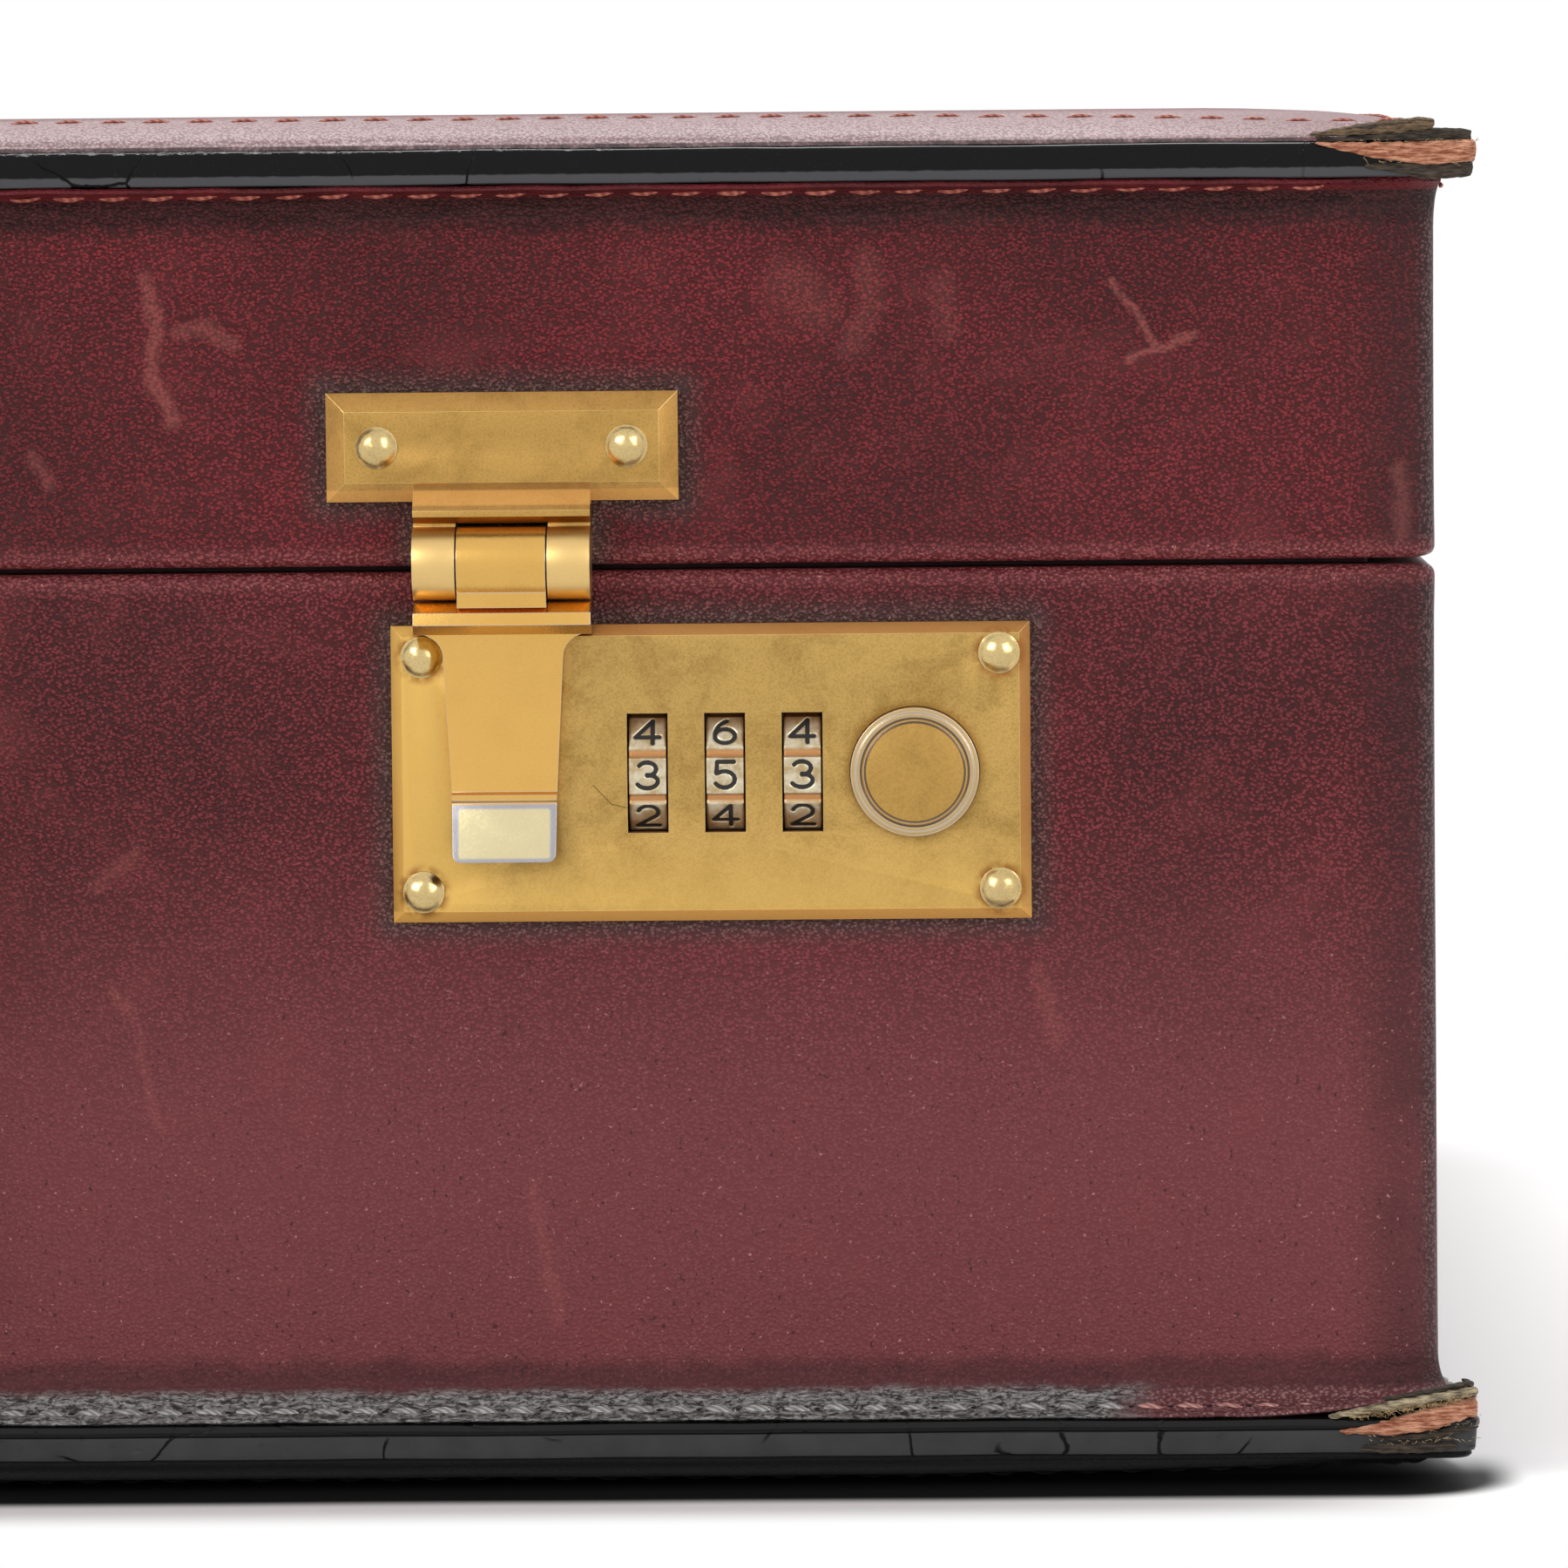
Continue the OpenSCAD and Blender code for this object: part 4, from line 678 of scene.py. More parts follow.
def thread(name, light, dark):
    """Waxed sewing thread, with its slanted strands."""
    f = Finish(name, Specular_IOR_Level=0.3)
    phase = (f.x + f.y) * 6.5 + f.z * 7.5 + f.noise(1.2) * 2
    ply = phase.math("SINE") * 0.5 + 0.5
    fuzz = f.noise(0.25, 3.0, 0.7)
    soil = f.noise(5, 3.0, 0.6)
    colour = f.mix(ply * 0.7 + fuzz * 0.3, dark, light)
    colour = f.mix(soil.ramp(0.45, 0.75) * 0.6, colour, dark)
    relief = f.bump(ply * 0.8 + fuzz * 0.4, 0.12)
    return f.wear(Base_Color=colour, Roughness=0.75 + fuzz * 0.15, Normal=relief)


def worn_hide(name, outside, inside):
    """Bare torn leather edge with fibres."""
    f = Finish(name, Specular_IOR_Level=0.25)
    along = f.join(f.x * 0.16, f.y * 0.16, f.z * 1.2)
    fibre = f.noise(0.3, 5.0, 0.75, along)
    blot = f.noise(1.6, 4.0, 0.65)
    colour = f.mix(fibre.ramp(0.35, 0.68), inside, outside)
    colour = f.mix(blot.ramp(0.55, 0.75) * 0.6, colour, inside)
    return f.wear(Base_Color=colour, Roughness=0.8 + blot * 0.1, Normal=f.bump(fibre + blot * 0.6, 0.22))


def brass(name, light, dark, rough, blotch=0.5, **extra):
    """Aged satin brass: blotches of tarnish, silvery worn edges and fine pits. `extra` adds what one piece
    has of its
    own: bevels painted darker coppery as a painted reflection, a painted highlight along the plate's lower
    edge (sill) or on the T-plate's lower stem and knuckles, a tab with a worn silver rim and a face painted
    pale as a painted reflection, stains round the studs and a painted gleam on the lock plate, a ring groove
    painted dark as shade, a scratch, the worn edges' colour, bright on the plates as a painted edge
    highlight, and how much it is rubbed, mottled and dented."""
    f = Finish(name, Metallic=1.0)
    normal = f.node("ShaderNodeTexCoord", out="Normal")
    facing = f.node("ShaderNodeSeparateXYZ", None, normal, out=1).size()
    blot = f.noise(7, 5.0, 0.65, distortion=0.6)
    fine = f.noise(0.35, 4.0, 0.7)
    pits = f.noise(0.12, 2.0, 0.6)
    speckle = f.noise(0.22, 3.0, 0.7)
    stain = (blot.ramp(0.42, 0.7) * 0.6 + speckle.ramp(0.4, 0.7) * 0.6) * blotch
    colour = f.mix(stain, light, dark)
    mottle = f.noise(1.7, 5.0, 0.78).ramp(0.48, 0.7) * blot.ramp(0.3, 0.6)
    colour = f.mix(mottle * extra.get("mottle", 0.0), colour, tone(146, 118, 60))
    # painted reflection: bevels painted darker coppery for what they reflect
    bevel = facing.ramp(0.97, 0.8)
    colour = f.mix(bevel * extra.get("bevel", 0.0), colour, tone(176, 118, 68))
    rub = f.noise(2.5, 3.0, 0.6).ramp(0.3, 0.6)
    # worn edges show silvery bare metal; the plates' bright shine colour is also a painted edge highlight
    worn = (f.value("worn") * (rub + extra.get("rub", 0.8))).least(1)
    colour = f.mix(worn, colour, extra.get("shine", tone(206, 196, 188)))
    # the tab: its rim worn silver, and its face painted pale as a painted reflection of the light above
    if "tab" in extra:
        silver = (f.z - LOCK_Z).ramp(-2.75, -2.95) * (f.y + 163.4).ramp(0.2, -0.2)
        rim = f.box_gap(HASP_X, 66.4, 4.3, 2.15).ramp(0.1, 0.45)
        colour = f.mix(silver, colour, f.mix(rim, extra["tab"], tone(168, 166, 172)))
    # painted highlight: a bright band along the plate's lower edge
    sill = 0
    if "sill" in extra:
        up = f.z - extra["sill"]
        sill = up.ramp(1.25, 1.0) * up.ramp(-0.5, -0.2)
        colour = f.mix(sill * 0.4, colour, tone(250, 196, 116))
    # painted highlight: the T-plate's lower stem and knuckles painted lighter
    if "tail" in extra:
        tail = (extra["tail"] - f.z).ramp(0, 1.5)
        colour = f.mix(tail * 0.7, colour, tone(240, 206, 138))
    if "studs" in extra:
        # painted highlight: the lock plate's inner end and lower half painted brighter
        gleam = f.x.size().ramp(136, 117).most((f.z - LOCK_Z).ramp(-4, -13) * 0.5)
        colour = f.mix(gleam * 0.8, colour, tone(226, 182, 98))
        sx = (f.x.size() - LOCK_X).size() - PLATE_STUD_X
        sz = (f.z - LOCK_Z).size() - PLATE_STUD_Z
        round_stud = (sx * sx + sz * sz) ** 0.5
        ring_stain = round_stud.ramp(3.1, 1.9) * f.noise(1.2, 3.0).ramp(0.3, 0.6)
        colour = f.mix(ring_stain * 0.9, colour, tone(144, 88, 40))
    if "ring" in extra:
        dx = f.x.size() - extra["ring"]
        dz = f.z - LOCK_Z
        radius = (dx * dx + dz * dz) ** 0.5
        # painted shade: the button's ring groove painted dark
        groove = ((radius - 5.2).size() - 0.2).size().ramp(0.16, 0.07)
        colour = f.mix(radius.ramp(5.5, 5.6) * 0.4, colour, tone(196, 182, 152))
        colour = f.mix(groove * 0.85, colour, tone(84, 58, 30))
    if "scratch" in extra:
        bent = f.vector("MULTIPLY", f.at, (1, 0, 1))
        line = f.line(extra["scratch"], bent).ramp(0.09, 0.03)
        colour = f.mix(line * 0.7, colour, tone(96, 74, 40))
    roughness = rough + stain * 0.16 - worn * 0.12 + (fine - 0.5) * 0.1 + sill * 0.3
    relief = f.bump(fine * 0.5 + pits * 0.5, 0.012)
    relief = f.bump(f.noise(3, 2.0), extra.get("dents", 0.03), relief)
    return f.wear(Base_Color=colour, Roughness=roughness, Normal=relief)


def steel(name):
    """Bright steel with a brushed bloom."""
    f = Finish(name, Metallic=1.0)
    fine = f.noise(0.3, 3.0, 0.7, f.join(f.x * 0.1, f.y, f.z))
    colour = f.mix(fine, tone(150, 150, 150), tone(196, 196, 194))
    return f.wear(Base_Color=colour, Roughness=0.3 + fine * 0.15, Normal=f.bump(fine, 0.01))


def number_face(name):
    """Worn brass of the number wheels with black in the engraved numbers and gold in the grooves."""
    f = Finish(name)
    ink = f.value("ink").ramp(0.35, 0.65)
    groove = f.value("groove")
    fine = f.noise(0.3, 4.0, 0.7)
    wear = f.noise(1.4, 3.0, 0.6)
    colour = f.mix(wear.ramp(0.35, 0.7), tone(206, 196, 170), tone(172, 148, 106))
    colour = f.mix(groove, colour, tone(184, 130, 78))
    colour = f.mix(fine.ramp(0.62, 0.75) * 0.5, colour, tone(120, 88, 52))
    colour = f.mix(ink, colour, tone(24, 20, 16))
    return f.wear(Base_Color=colour, Metallic=(1 - ink) * 0.7, Roughness=0.34 + ink * 0.3 + wear * 0.12,
                  Normal=f.bump(fine, 0.015))


def suede(name, light, dark):
    """Napped suede, brushed in patches."""
    f = Finish(name, Specular_IOR_Level=0.15)
    nap = f.noise(0.45, 4.0, 0.75)
    patch = f.noise(22, 3.0, 0.6)
    colour = f.mix(patch.ramp(0.35, 0.65), dark, light)
    colour = f.mix(nap.ramp(0.4, 0.7) * 0.35, colour, tone(196, 164, 122))
    return f.wear(Base_Color=colour, Roughness=0.92 + nap * 0.05, Normal=f.bump(nap, 0.15))


def smooth_hide(name, deep, mid, size=0.5, gloss=0.42):
    """Smooth dyed leather of the small parts, with a fine grain and rubbed spots."""
    f = Finish(name, Specular_IOR_Level=0.45)
    grain = pebble(f, size)
    cloud = f.noise(8, 4.0, 0.6)
    colour = f.mix(cloud.ramp(0.3, 0.7), deep, mid)
    colour = f.mix(grain.ramp(0.5, 0.1) * 0.45, colour, tone(34, 9, 12))
    return f.wear(Base_Color=colour, Roughness=gloss + cloud * 0.12, Normal=f.bump(grain, 0.05))


def plywood(name):
    """Raw plywood, streaked along the grain."""
    f = Finish(name, Specular_IOR_Level=0.3)
    streak = f.noise(1.2, 4.0, 0.6, f.join(f.x * 0.05, f.y * 0.05, f.z))
    colour = f.mix(streak, tone(176, 138, 92), tone(216, 184, 138))
    return f.wear(Base_Color=colour, Roughness=0.8 + streak * 0.1, Normal=f.bump(streak, 0.05))


BASE_LEATHER = wall_leather("base wall leather", False)
LID_LEATHER = wall_leather("lid wall leather", True)
TOP_PANEL = panel_leather("top leather", True)
BOTTOM_PANEL = panel_leather("bottom leather", False)
BASE_PAINT = edge_paint("base edge paint", False)
LID_PAINT = edge_paint("lid edge paint", True)
SALMON_THREAD = thread("salmon thread", tone(186, 110, 92), tone(112, 46, 42))
TERRACOTTA_THREAD = thread("terracotta thread", tone(190, 122, 104), tone(122, 62, 56))
GREY_THREAD = thread("soiled thread", tone(190, 188, 184), tone(104, 102, 101))
WINE_THREAD = thread("wine thread", tone(214, 166, 156), tone(132, 76, 74))
# painted shadow: the bottom row's thread is painted near black, like the shadow under the case
SHADOW_BLACK_THREAD = thread("thread painted black as shadow", tone(34, 28, 28), tone(14, 12, 12))
ORANGE_HIDE = worn_hide("torn orange core", tone(214, 158, 128), tone(124, 62, 38))
DARK_HIDE = worn_hide("torn dark leather", tone(82, 71, 59), tone(24, 21, 20))
BROWN_HIDE = worn_hide("brown torn leather", tone(124, 101, 76), tone(42, 36, 31))
FRINGE_HIDE = worn_hide("frayed leather", tone(196, 180, 146), tone(76, 66, 56))
TAN_FUZZ = worn_hide("tan fibres", tone(196, 172, 128), tone(120, 98, 66))
# painted shade: dark pads that stand for the shade inside the needle holes
HOLE_SHADE = worn_hide("needle hole shade", tone(34, 22, 22), tone(14, 9, 9))
LIGHT_BRASS = tone(196, 159, 92)
DARK_BRASS = tone(136, 106, 54)
PLATE_SCRATCH = ((136.2, 70.9), (138.0, 69.0), (140.9, 68.3))
PLATE_BRASS = brass("lock plate brass", LIGHT_BRASS, DARK_BRASS, 0.34, 0.7, bevel=0.75, rub=1.0, studs=True,
                    scratch=PLATE_SCRATCH, sill=LOCK_Z - PLATE_HALF_Z, mottle=0.5,
                    shine=tone(240, 214, 150))
TEE_BRASS = brass("hasp plate brass", tone(194, 152, 84), DARK_BRASS, 0.32, 0.7, bevel=0.3, rub=0.6,
                  sill=TEE_Z - TEE_HALF_Z, mottle=0.5, shine=tone(236, 208, 144), tail=TEE_Z - 8)
HASP_BRASS = brass("hasp brass", tone(222, 176, 96), tone(204, 156, 80), 0.23, 0.4, rub=1.0,
                   tab=tone(216, 202, 160))
BUTTON_BRASS = brass("button brass", tone(190, 150, 82), DARK_BRASS, 0.3, 0.6, rub=1.0, ring=BUTTON_X)
RIVET_BRASS = brass("rivet brass", tone(214, 190, 134), tone(166, 130, 76), 0.2, 0.5, dents=0.3)
OLD_BRASS = brass("hinge brass", tone(222, 180, 104), tone(150, 114, 62), 0.3, 0.6, rub=0.5)
STEEL = steel("bright steel")
NUMBERS = number_face("number wheel brass")
SUEDE = suede("tan suede", tone(172, 134, 92), tone(146, 110, 74))
INNER_HIDE = smooth_hide("inner leather", tone(70, 16, 22), tone(90, 26, 31))
POCKET_HIDE = smooth_hide("pocket leather", tone(88, 26, 30), tone(112, 42, 44), 0.7, 0.46)
GRIP_HIDE = smooth_hide("grip leather", tone(58, 14, 18), tone(84, 26, 30), 0.8, 0.4)
PLYWOOD = plywood("plywood")


# Leather of the walls

def sag(out, z, top):
    """Pulls the wall leather in by up to 0.12 mm in slow waves, and lets it swell at its rim."""
    wall = LOOP.points(np.zeros_like(out), z)
    flat = smoothstep(z, FLARE_TOP, FLARE_TOP + 8) * (1 - smoothstep(z, top - 6, top - 1.5)) * (out > -0.5)
    return out - flat * (0.06 + 0.06 * wobble(wall, 26)), z


def build_cover(height, board_t, lid):
    """Leather of one half: its section runs out under the flange, up the flare and the wall, over the
    rounded rim, down the turned-in edge and back down behind the wall. The side walls stand 0.6 mm further
    out. With d the distance to a corner, exp(-(d / reach)^2) draws the lid's flange in and lifts the
    base's."""
    turn = LEATHER_T + board_t
    rows = [(-LEATHER_T, WELT_Z1 + 0.02), (FLANGE_OUT - 0.3, WELT_Z1 + 0.02), (FLANGE_OUT, WELT_Z1 + 0.2)]
    rows += [flare(k / 16) for k in range(17)]
    rows += [(0, z) for z in np.linspace(FLARE_TOP + 2, height - 1.6, 22)]
    rows += arc(-1.2, height - 1.2, 1.2, 0, 90, 7)
    rows += [(-3.2, height)]
    rows += arc(-turn + 0.6, height - 0.6, 0.6, 90, 180, 4)
    rows += [(-turn, height - LEATHER_T), (-LEATHER_T, height - LEATHER_T)]
    rows += [(-LEATHER_T, z) for z in np.linspace(height - 8, 20, 6)]

    def change(out, z):
        out, z = sag(out, z, height)
        lip = np.clip(out / FLANGE_OUT, 0, 1)
        swell = 0.6 * LOOP.ux ** 2 * (1 - lip) * smoothstep(out, -1.3, -0.1)
        spot = LOOP.points(out, z)
        on_side = (np.abs(LOOP.ux) > 0.99) & ~LOOP.arc
        curl = np.exp(-(LOOP.to_corner / np.where(on_side & lid, 24.0, 9.0)) ** 2)
        z = z + lip * (0.10 * wobble(spot, 5, 3.0) + 0.05)
        if lid:
            return np.where(out > 0, out * (1 - 0.85 * curl), out) + swell, z
        return out + swell, z + 1.9 * curl * smoothstep(lip, 0.3, 0.9)

    points, faces = swept(rows, change)
    if lid:
        points = for_lid(points)
    return make_mesh("lid_leather" if lid else "base_leather", points, [faces], merge=True)


def lock_boxes(back):
    """Boxes that the two lock cases take up, to be cut from what they pass through, as deep as y = back."""
    boxes = []
    for side in (-1, 1):
        x0, x1 = sorted((side * (LOCK_X - 26.5), side * (LOCK_X + 28.8)))
        boxes.append(((x0, -WALL_Y - 2, LOCK_Z - 12.5), (x1, back, LOCK_Z + 12.5)))
    return boxes


base_leather = place("base_leather", build_cover(BASE_RIM, 4.5, False), BASE_LEATHER, "case_base",
                     ["base_cover"])
cut_boxes(base_leather, lock_boxes(-145))
place("lid_leather", build_cover(LID_RIM, 4.0, True), LID_LEATHER, "lid", ["lid_cover"])


# Top and bottom panels, welts and linings

def panel_rise(points):
    """How far the panel's skin lies in from its flat middle. With bx and by the distances beyond the flat
    part, as shares of the shoulder's width, it is 2.7 (1 - sqrt(1 - bx^2 - by^2)), and it sinks 0.8 mm more
    towards the corners; over the board it stays outside the board's face."""
    far_x = np.abs(points[..., 0])
    far_y = np.abs(points[..., 1])
    bx = np.maximum(far_x - (WALL_X - 22), 0) / 26
    by = np.maximum(far_y - (WALL_Y - SHOULDER), 0) / (SHOULDER + 4)
    beyond = np.clip(np.hypot(bx, by), 0, 1)
    rise = 2.7 * (1 - np.sqrt(1 - beyond ** 2))
    rise += 0.8 * smoothstep(np.hypot(np.maximum(far_x - 150, 0), np.maximum(far_y - 90, 0)), 62, 92)
    rise += 0.04 * (1 + wobble(points * [1, 1, 0], 9, 1.0)) * smoothstep(beyond, 0, 0.25)
    board = np.maximum(far_x - WALL_X, far_y - WALL_Y) + 1.4
    return np.minimum(rise, 1.45 + 1.3 * smoothstep(board, 0, 1.2))


def build_panel(lid):
    """Leather panel of one half: flat in the middle, with a rounded shoulder and a thin edge on the welt."""
    rows = [(-SHOULDER, 0, k) for k in (0.0, 0.3, 0.6, 0.8, 0.86, 0.9, 0.92, 0.94, 0.96, 0.98, 1.0)]
    rows += [shoulder(k / 16) for k in range(1, 17)]
    skin_points = len(rows) * LOOP.count
    rows += [(4.25, 3.0), (4.2, WELT_Z0), (-LEATHER_T, WELT_Z0), (-LEATHER_T, LEATHER_T)]
    rows += [(-SHOULDER, LEATHER_T, k) for k in (1.0, 0.6, 0.3, 0.0)]
    points, faces = swept(rows)
    skin = np.arange(len(points)) < skin_points
    rise = panel_rise(points)
    points[:, 2] = np.where(skin, np.maximum(points[:, 2], np.minimum(rise, WELT_Z0 - 0.1)), points[:, 2])
    if lid:
        points = for_lid(points)
    return make_mesh("panel", points, [faces], merge=True)


def build_welt(lid):
    """Black edge of one half: a nearly flat upright band that leans in towards the outer face of the case,
    and a bead of edge paint where it meets the leather of the walls."""
    rows = [(-LEATHER_T, WELT_Z1), (-LEATHER_T, WELT_Z0), (3.9, WELT_Z0)]
    if lid:
        rows += [(4.35, 3.42), (4.7, 3.6), (4.9, 3.9), (5.0, 4.3), (5.0, 4.9), (4.98, 5.5), (4.9, 5.75)]
        rows += [(4.84, 6.0), (4.76, 6.5), (4.62, 6.85), (4.3, 6.99)]
    else:
        rows += [(4.35, 3.41), (4.58, 3.5), (4.66, 3.7), (4.72, 4.3), (4.78, 5.0), (4.82, 5.6), (4.8, 5.72)]
        rows += arc(4.55, 6.38, 0.62, -70, 80, 9)

    def change(out, z):
        skin = out > 4
        spot = LOOP.points(out, z)
        spot[..., 2] = 0
        return out + skin * 0.07 * wobble(spot, 7, 2.0), z + skin * 0.06 * wobble(spot, 11, 5.0)

    points, faces = swept(rows, change)
    if lid:
        points = for_lid(points)
    return make_mesh("welt", points, [faces], merge=True)


def build_lining(wall_t, top, lid):
    """Suede tray of one half: upright walls 1 mm thick, rounded into the floor."""
    w = -wall_t
    floor = 5.6
    rows = [(w, floor, k) for k in (0.0, 0.5, 1.0)]
    rows += [(w, z) for z in np.linspace(floor + 4, top - 0.4, 6)]
    rows += [(w - 0.2, top - 0.1), (w - 0.5, top), (w - 0.8, top - 0.1)]
    rows += [(w - 1.0, z) for z in np.linspace(top - 0.4, floor + 4, 6)]
    rows += [(w - 3 + 2 * math.cos(a), floor + 3 - 2 * math.sin(a))
             for a in np.linspace(0.2, math.pi / 2, 5)]
    rows += [(w - 3, floor + 1, k) for k in (0.9, 0.5, 0.0)]
    points, faces = swept(rows)
    if lid:
        points = for_lid(points)
    return make_mesh("lining", points, [faces], merge=True)


place("base_bottom", build_panel(False), BOTTOM_PANEL, "case_base", ["base_panel"])
place("lid_top", build_panel(True), TOP_PANEL, "lid", ["lid_panel"])
place("base_edge", build_welt(False), BASE_PAINT, "case_base", ["base_welt"])
place("lid_edge", build_welt(True), LID_PAINT, "lid", ["lid_welt"])
base_suede = place("base_suede", build_lining(6.1, 78, False), SUEDE, "case_base", ["base_lining"])
cut_boxes(base_suede, lock_boxes(-145.9))
place("lid_suede", build_lining(5.6, CASE_H - 97.6, True), SUEDE, "lid", ["lid_lining"])


def build_lip():
    """Leather-covered strip inside the base's rim, with a rounded top."""
    rows = [(-6.1, 78), (-6.1, 85), (-6.1, 92), (-6.1, 95.9)] + arc(-7.2, 95.9, 1.1, 0, 180, 8)[1:]
    rows += [(-8.3, 92), (-8.3, 85), (-8.3, 78)]
    points, faces = swept(rows)
    return make_mesh("lip", points, [faces], merge=True)


lip = place("lip_leather", build_lip(), INNER_HIDE, "case_base", ["lip_strips"])
cut_boxes(lip, lock_boxes(-145.9))


# Stitching

def along_ring(row, start, pitch, span):
    """Paths of stitches on the ring at `row`, its (out, z): each is `span` long and starts one pitch after
    the last, with the pitch eased so that a whole number fits. Returns the paths and their outward
    directions."""
    track = LOOP.points(np.full((1, LOOP.count), row[0]), row[1])[0]
    track = np.vstack([track, track[:1]])
    normal = np.stack([LOOP.ux, LOOP.uy, np.zeros(LOOP.count)], -1)
    normal = np.vstack([normal, normal[:1]])
    run = np.concatenate([[0], np.cumsum(np.linalg.norm(np.diff(track, axis=0), axis=1))])
    count = round(run[-1] / pitch)
    s = start + run[-1] / count * np.arange(count)[:, None] + span * np.linspace(0, 1, 6)
    s = s % run[-1]
    paths = np.stack([np.interp(s, run, track[:, k]) for k in range(3)], -1)
    ways = np.stack([np.interp(s, run, normal[:, k]) for k in range(3)], -1)
    return paths, ways


def stitch_row(name, row, slope, finish, lid, pitch=STITCH_PITCH, share=STITCH_SHARE, width=0.3,
               keep=None, panel=False):
    """Row of stitches round the case at `row`, its (out, z). Each is a fat strand that rises out of its
    hole, lies slanted on the leather and dips into the next: height = 0.2 sin(pi t) - 0.06. `slope` is the
    leather's outward and upward direction, `share` a stitch's length as a share of the pitch, and `keep`
    says which stitches are there."""
    paths, ways = along_ring(row, 0.0, pitch, pitch * share)
    rng = np.random.default_rng(len(name))
    t = np.linspace(0, 1, paths.shape[1])
    face = ways * slope[0] + np.array([0, 0, slope[1]])
    across = np.cross(np.gradient(paths, axis=1), face)
    across /= np.linalg.norm(across, axis=2, keepdims=True)
    tilt = 0.2 + 0.05 * rng.standard_normal((len(paths), 1, 1))
    rise = (0.2 * np.sin(np.pi * t) - 0.06)[None, :, None]
    paths = paths + face * rise + across * tilt * (2 * t[None, :, None] - 1)
    paths += 0.03 * rng.standard_normal((len(paths), 1, 3))
    if panel:
        paths[..., 2] = panel_rise(paths) - rise[..., 0]
    if keep is not None:
        chosen = keep(paths[:, 2])
        paths, face = paths[chosen], face[chosen]
    radius = width * (0.55 + 0.45 * np.sin(np.pi * t)) * (1 + 0.12 * rng.standard_normal((len(paths), 1)))
    points, faces = strands(paths, radius, face, 6, 0.7)
    if lid:
        points = for_lid(points)
    body = "lid" if lid else "case_base"
    return place(name, make_mesh(name, points, faces), finish, body)


def needle_holes(name, row, slope, pitch):
    """Small dark pads between the base's stitches, where the thread goes into the leather: painted shade of
    the needle holes.
    """
    gap = pitch * (1 - STITCH_SHARE)
    paths, ways = along_ring(row, -gap * 0.75, pitch, gap * 0.5)
    face = ways * slope[0] + np.array([0, 0, slope[1]])
    radius = 0.30 * np.sin(np.pi * np.linspace(0.08, 0.92, paths.shape[1]))[None, :]
    points, faces = strands(paths, radius, face, 6, 0.25)
    return place(name, make_mesh(name, points, faces), HOLE_SHADE, "case_base")


def clear_of_corners(p):
    """True for the stitches that aren't hidden by a torn corner."""
    return WALL_X - np.abs(p[:, 0]) + WALL_Y - np.abs(p[:, 1]) > 9


def clean_end(p):
    """True for the stitches at the front's right end, which have kept their colour."""
    return (p[:, 0] > 191) & (p[:, 1] < -158)


def soiled(p):
    """True for the other stitches of the base's flange."""
    return ~clean_end(p)


FLANGE_SLOPE = (0.45, 0.89)
PANEL_SLOPE = (0.06, -1.0)
PANEL_ROW = (-2.4, 0.3)
lid_row = flare(0.2)
base_row = flare(0.22)
stitch_row("lid_flange_stitches", lid_row, FLANGE_SLOPE, SALMON_THREAD, True, share=0.7,
           keep=clear_of_corners)
stitch_row("base_flange_stitches", base_row, FLANGE_SLOPE, GREY_THREAD, False, BASE_STITCH_PITCH, width=0.42,
           keep=soiled)
stitch_row("base_flange_stitches_clean", base_row, FLANGE_SLOPE, WINE_THREAD, False, BASE_STITCH_PITCH,
           keep=clean_end)
needle_holes("base_flange_holes", base_row, FLANGE_SLOPE, BASE_STITCH_PITCH)
stitch_row("lid_top_stitches", PANEL_ROW, PANEL_SLOPE, TERRACOTTA_THREAD, True, width=0.24, panel=True)
# its thread painted near black as shadow
stitch_row("base_bottom_stitches", PANEL_ROW, PANEL_SLOPE, SHADOW_BLACK_THREAD, False, width=0.24, panel=True)


# Worn corners

def corner_path(sx, sy, s, out):
    """Points and outward normals at run s from the middle of a corner, `out` beyond the walls: the arc of
    radius r round the corner's centre, then straight on both sides. Positive s runs along the front or
    back."""
    r = 1.8
    half = r * math.pi / 4
    a = np.clip(s / half, -1, 1) * math.pi / 4
    spare = s - np.clip(s, -half, half)
    cx = WALL_X + SIDE_SHARE * out - r
    cy = WALL_Y + out - r
    nx = np.cos(a + math.pi / 4)
    ny = np.sin(a + math.pi / 4)
    x = cx + r * nx - np.maximum(spare, 0)
    y = cy + r * ny + np.minimum(spare, 0)
    return np.stack([sx * x, sy * y], -1), np.stack([sx * nx, sy * ny], -1)


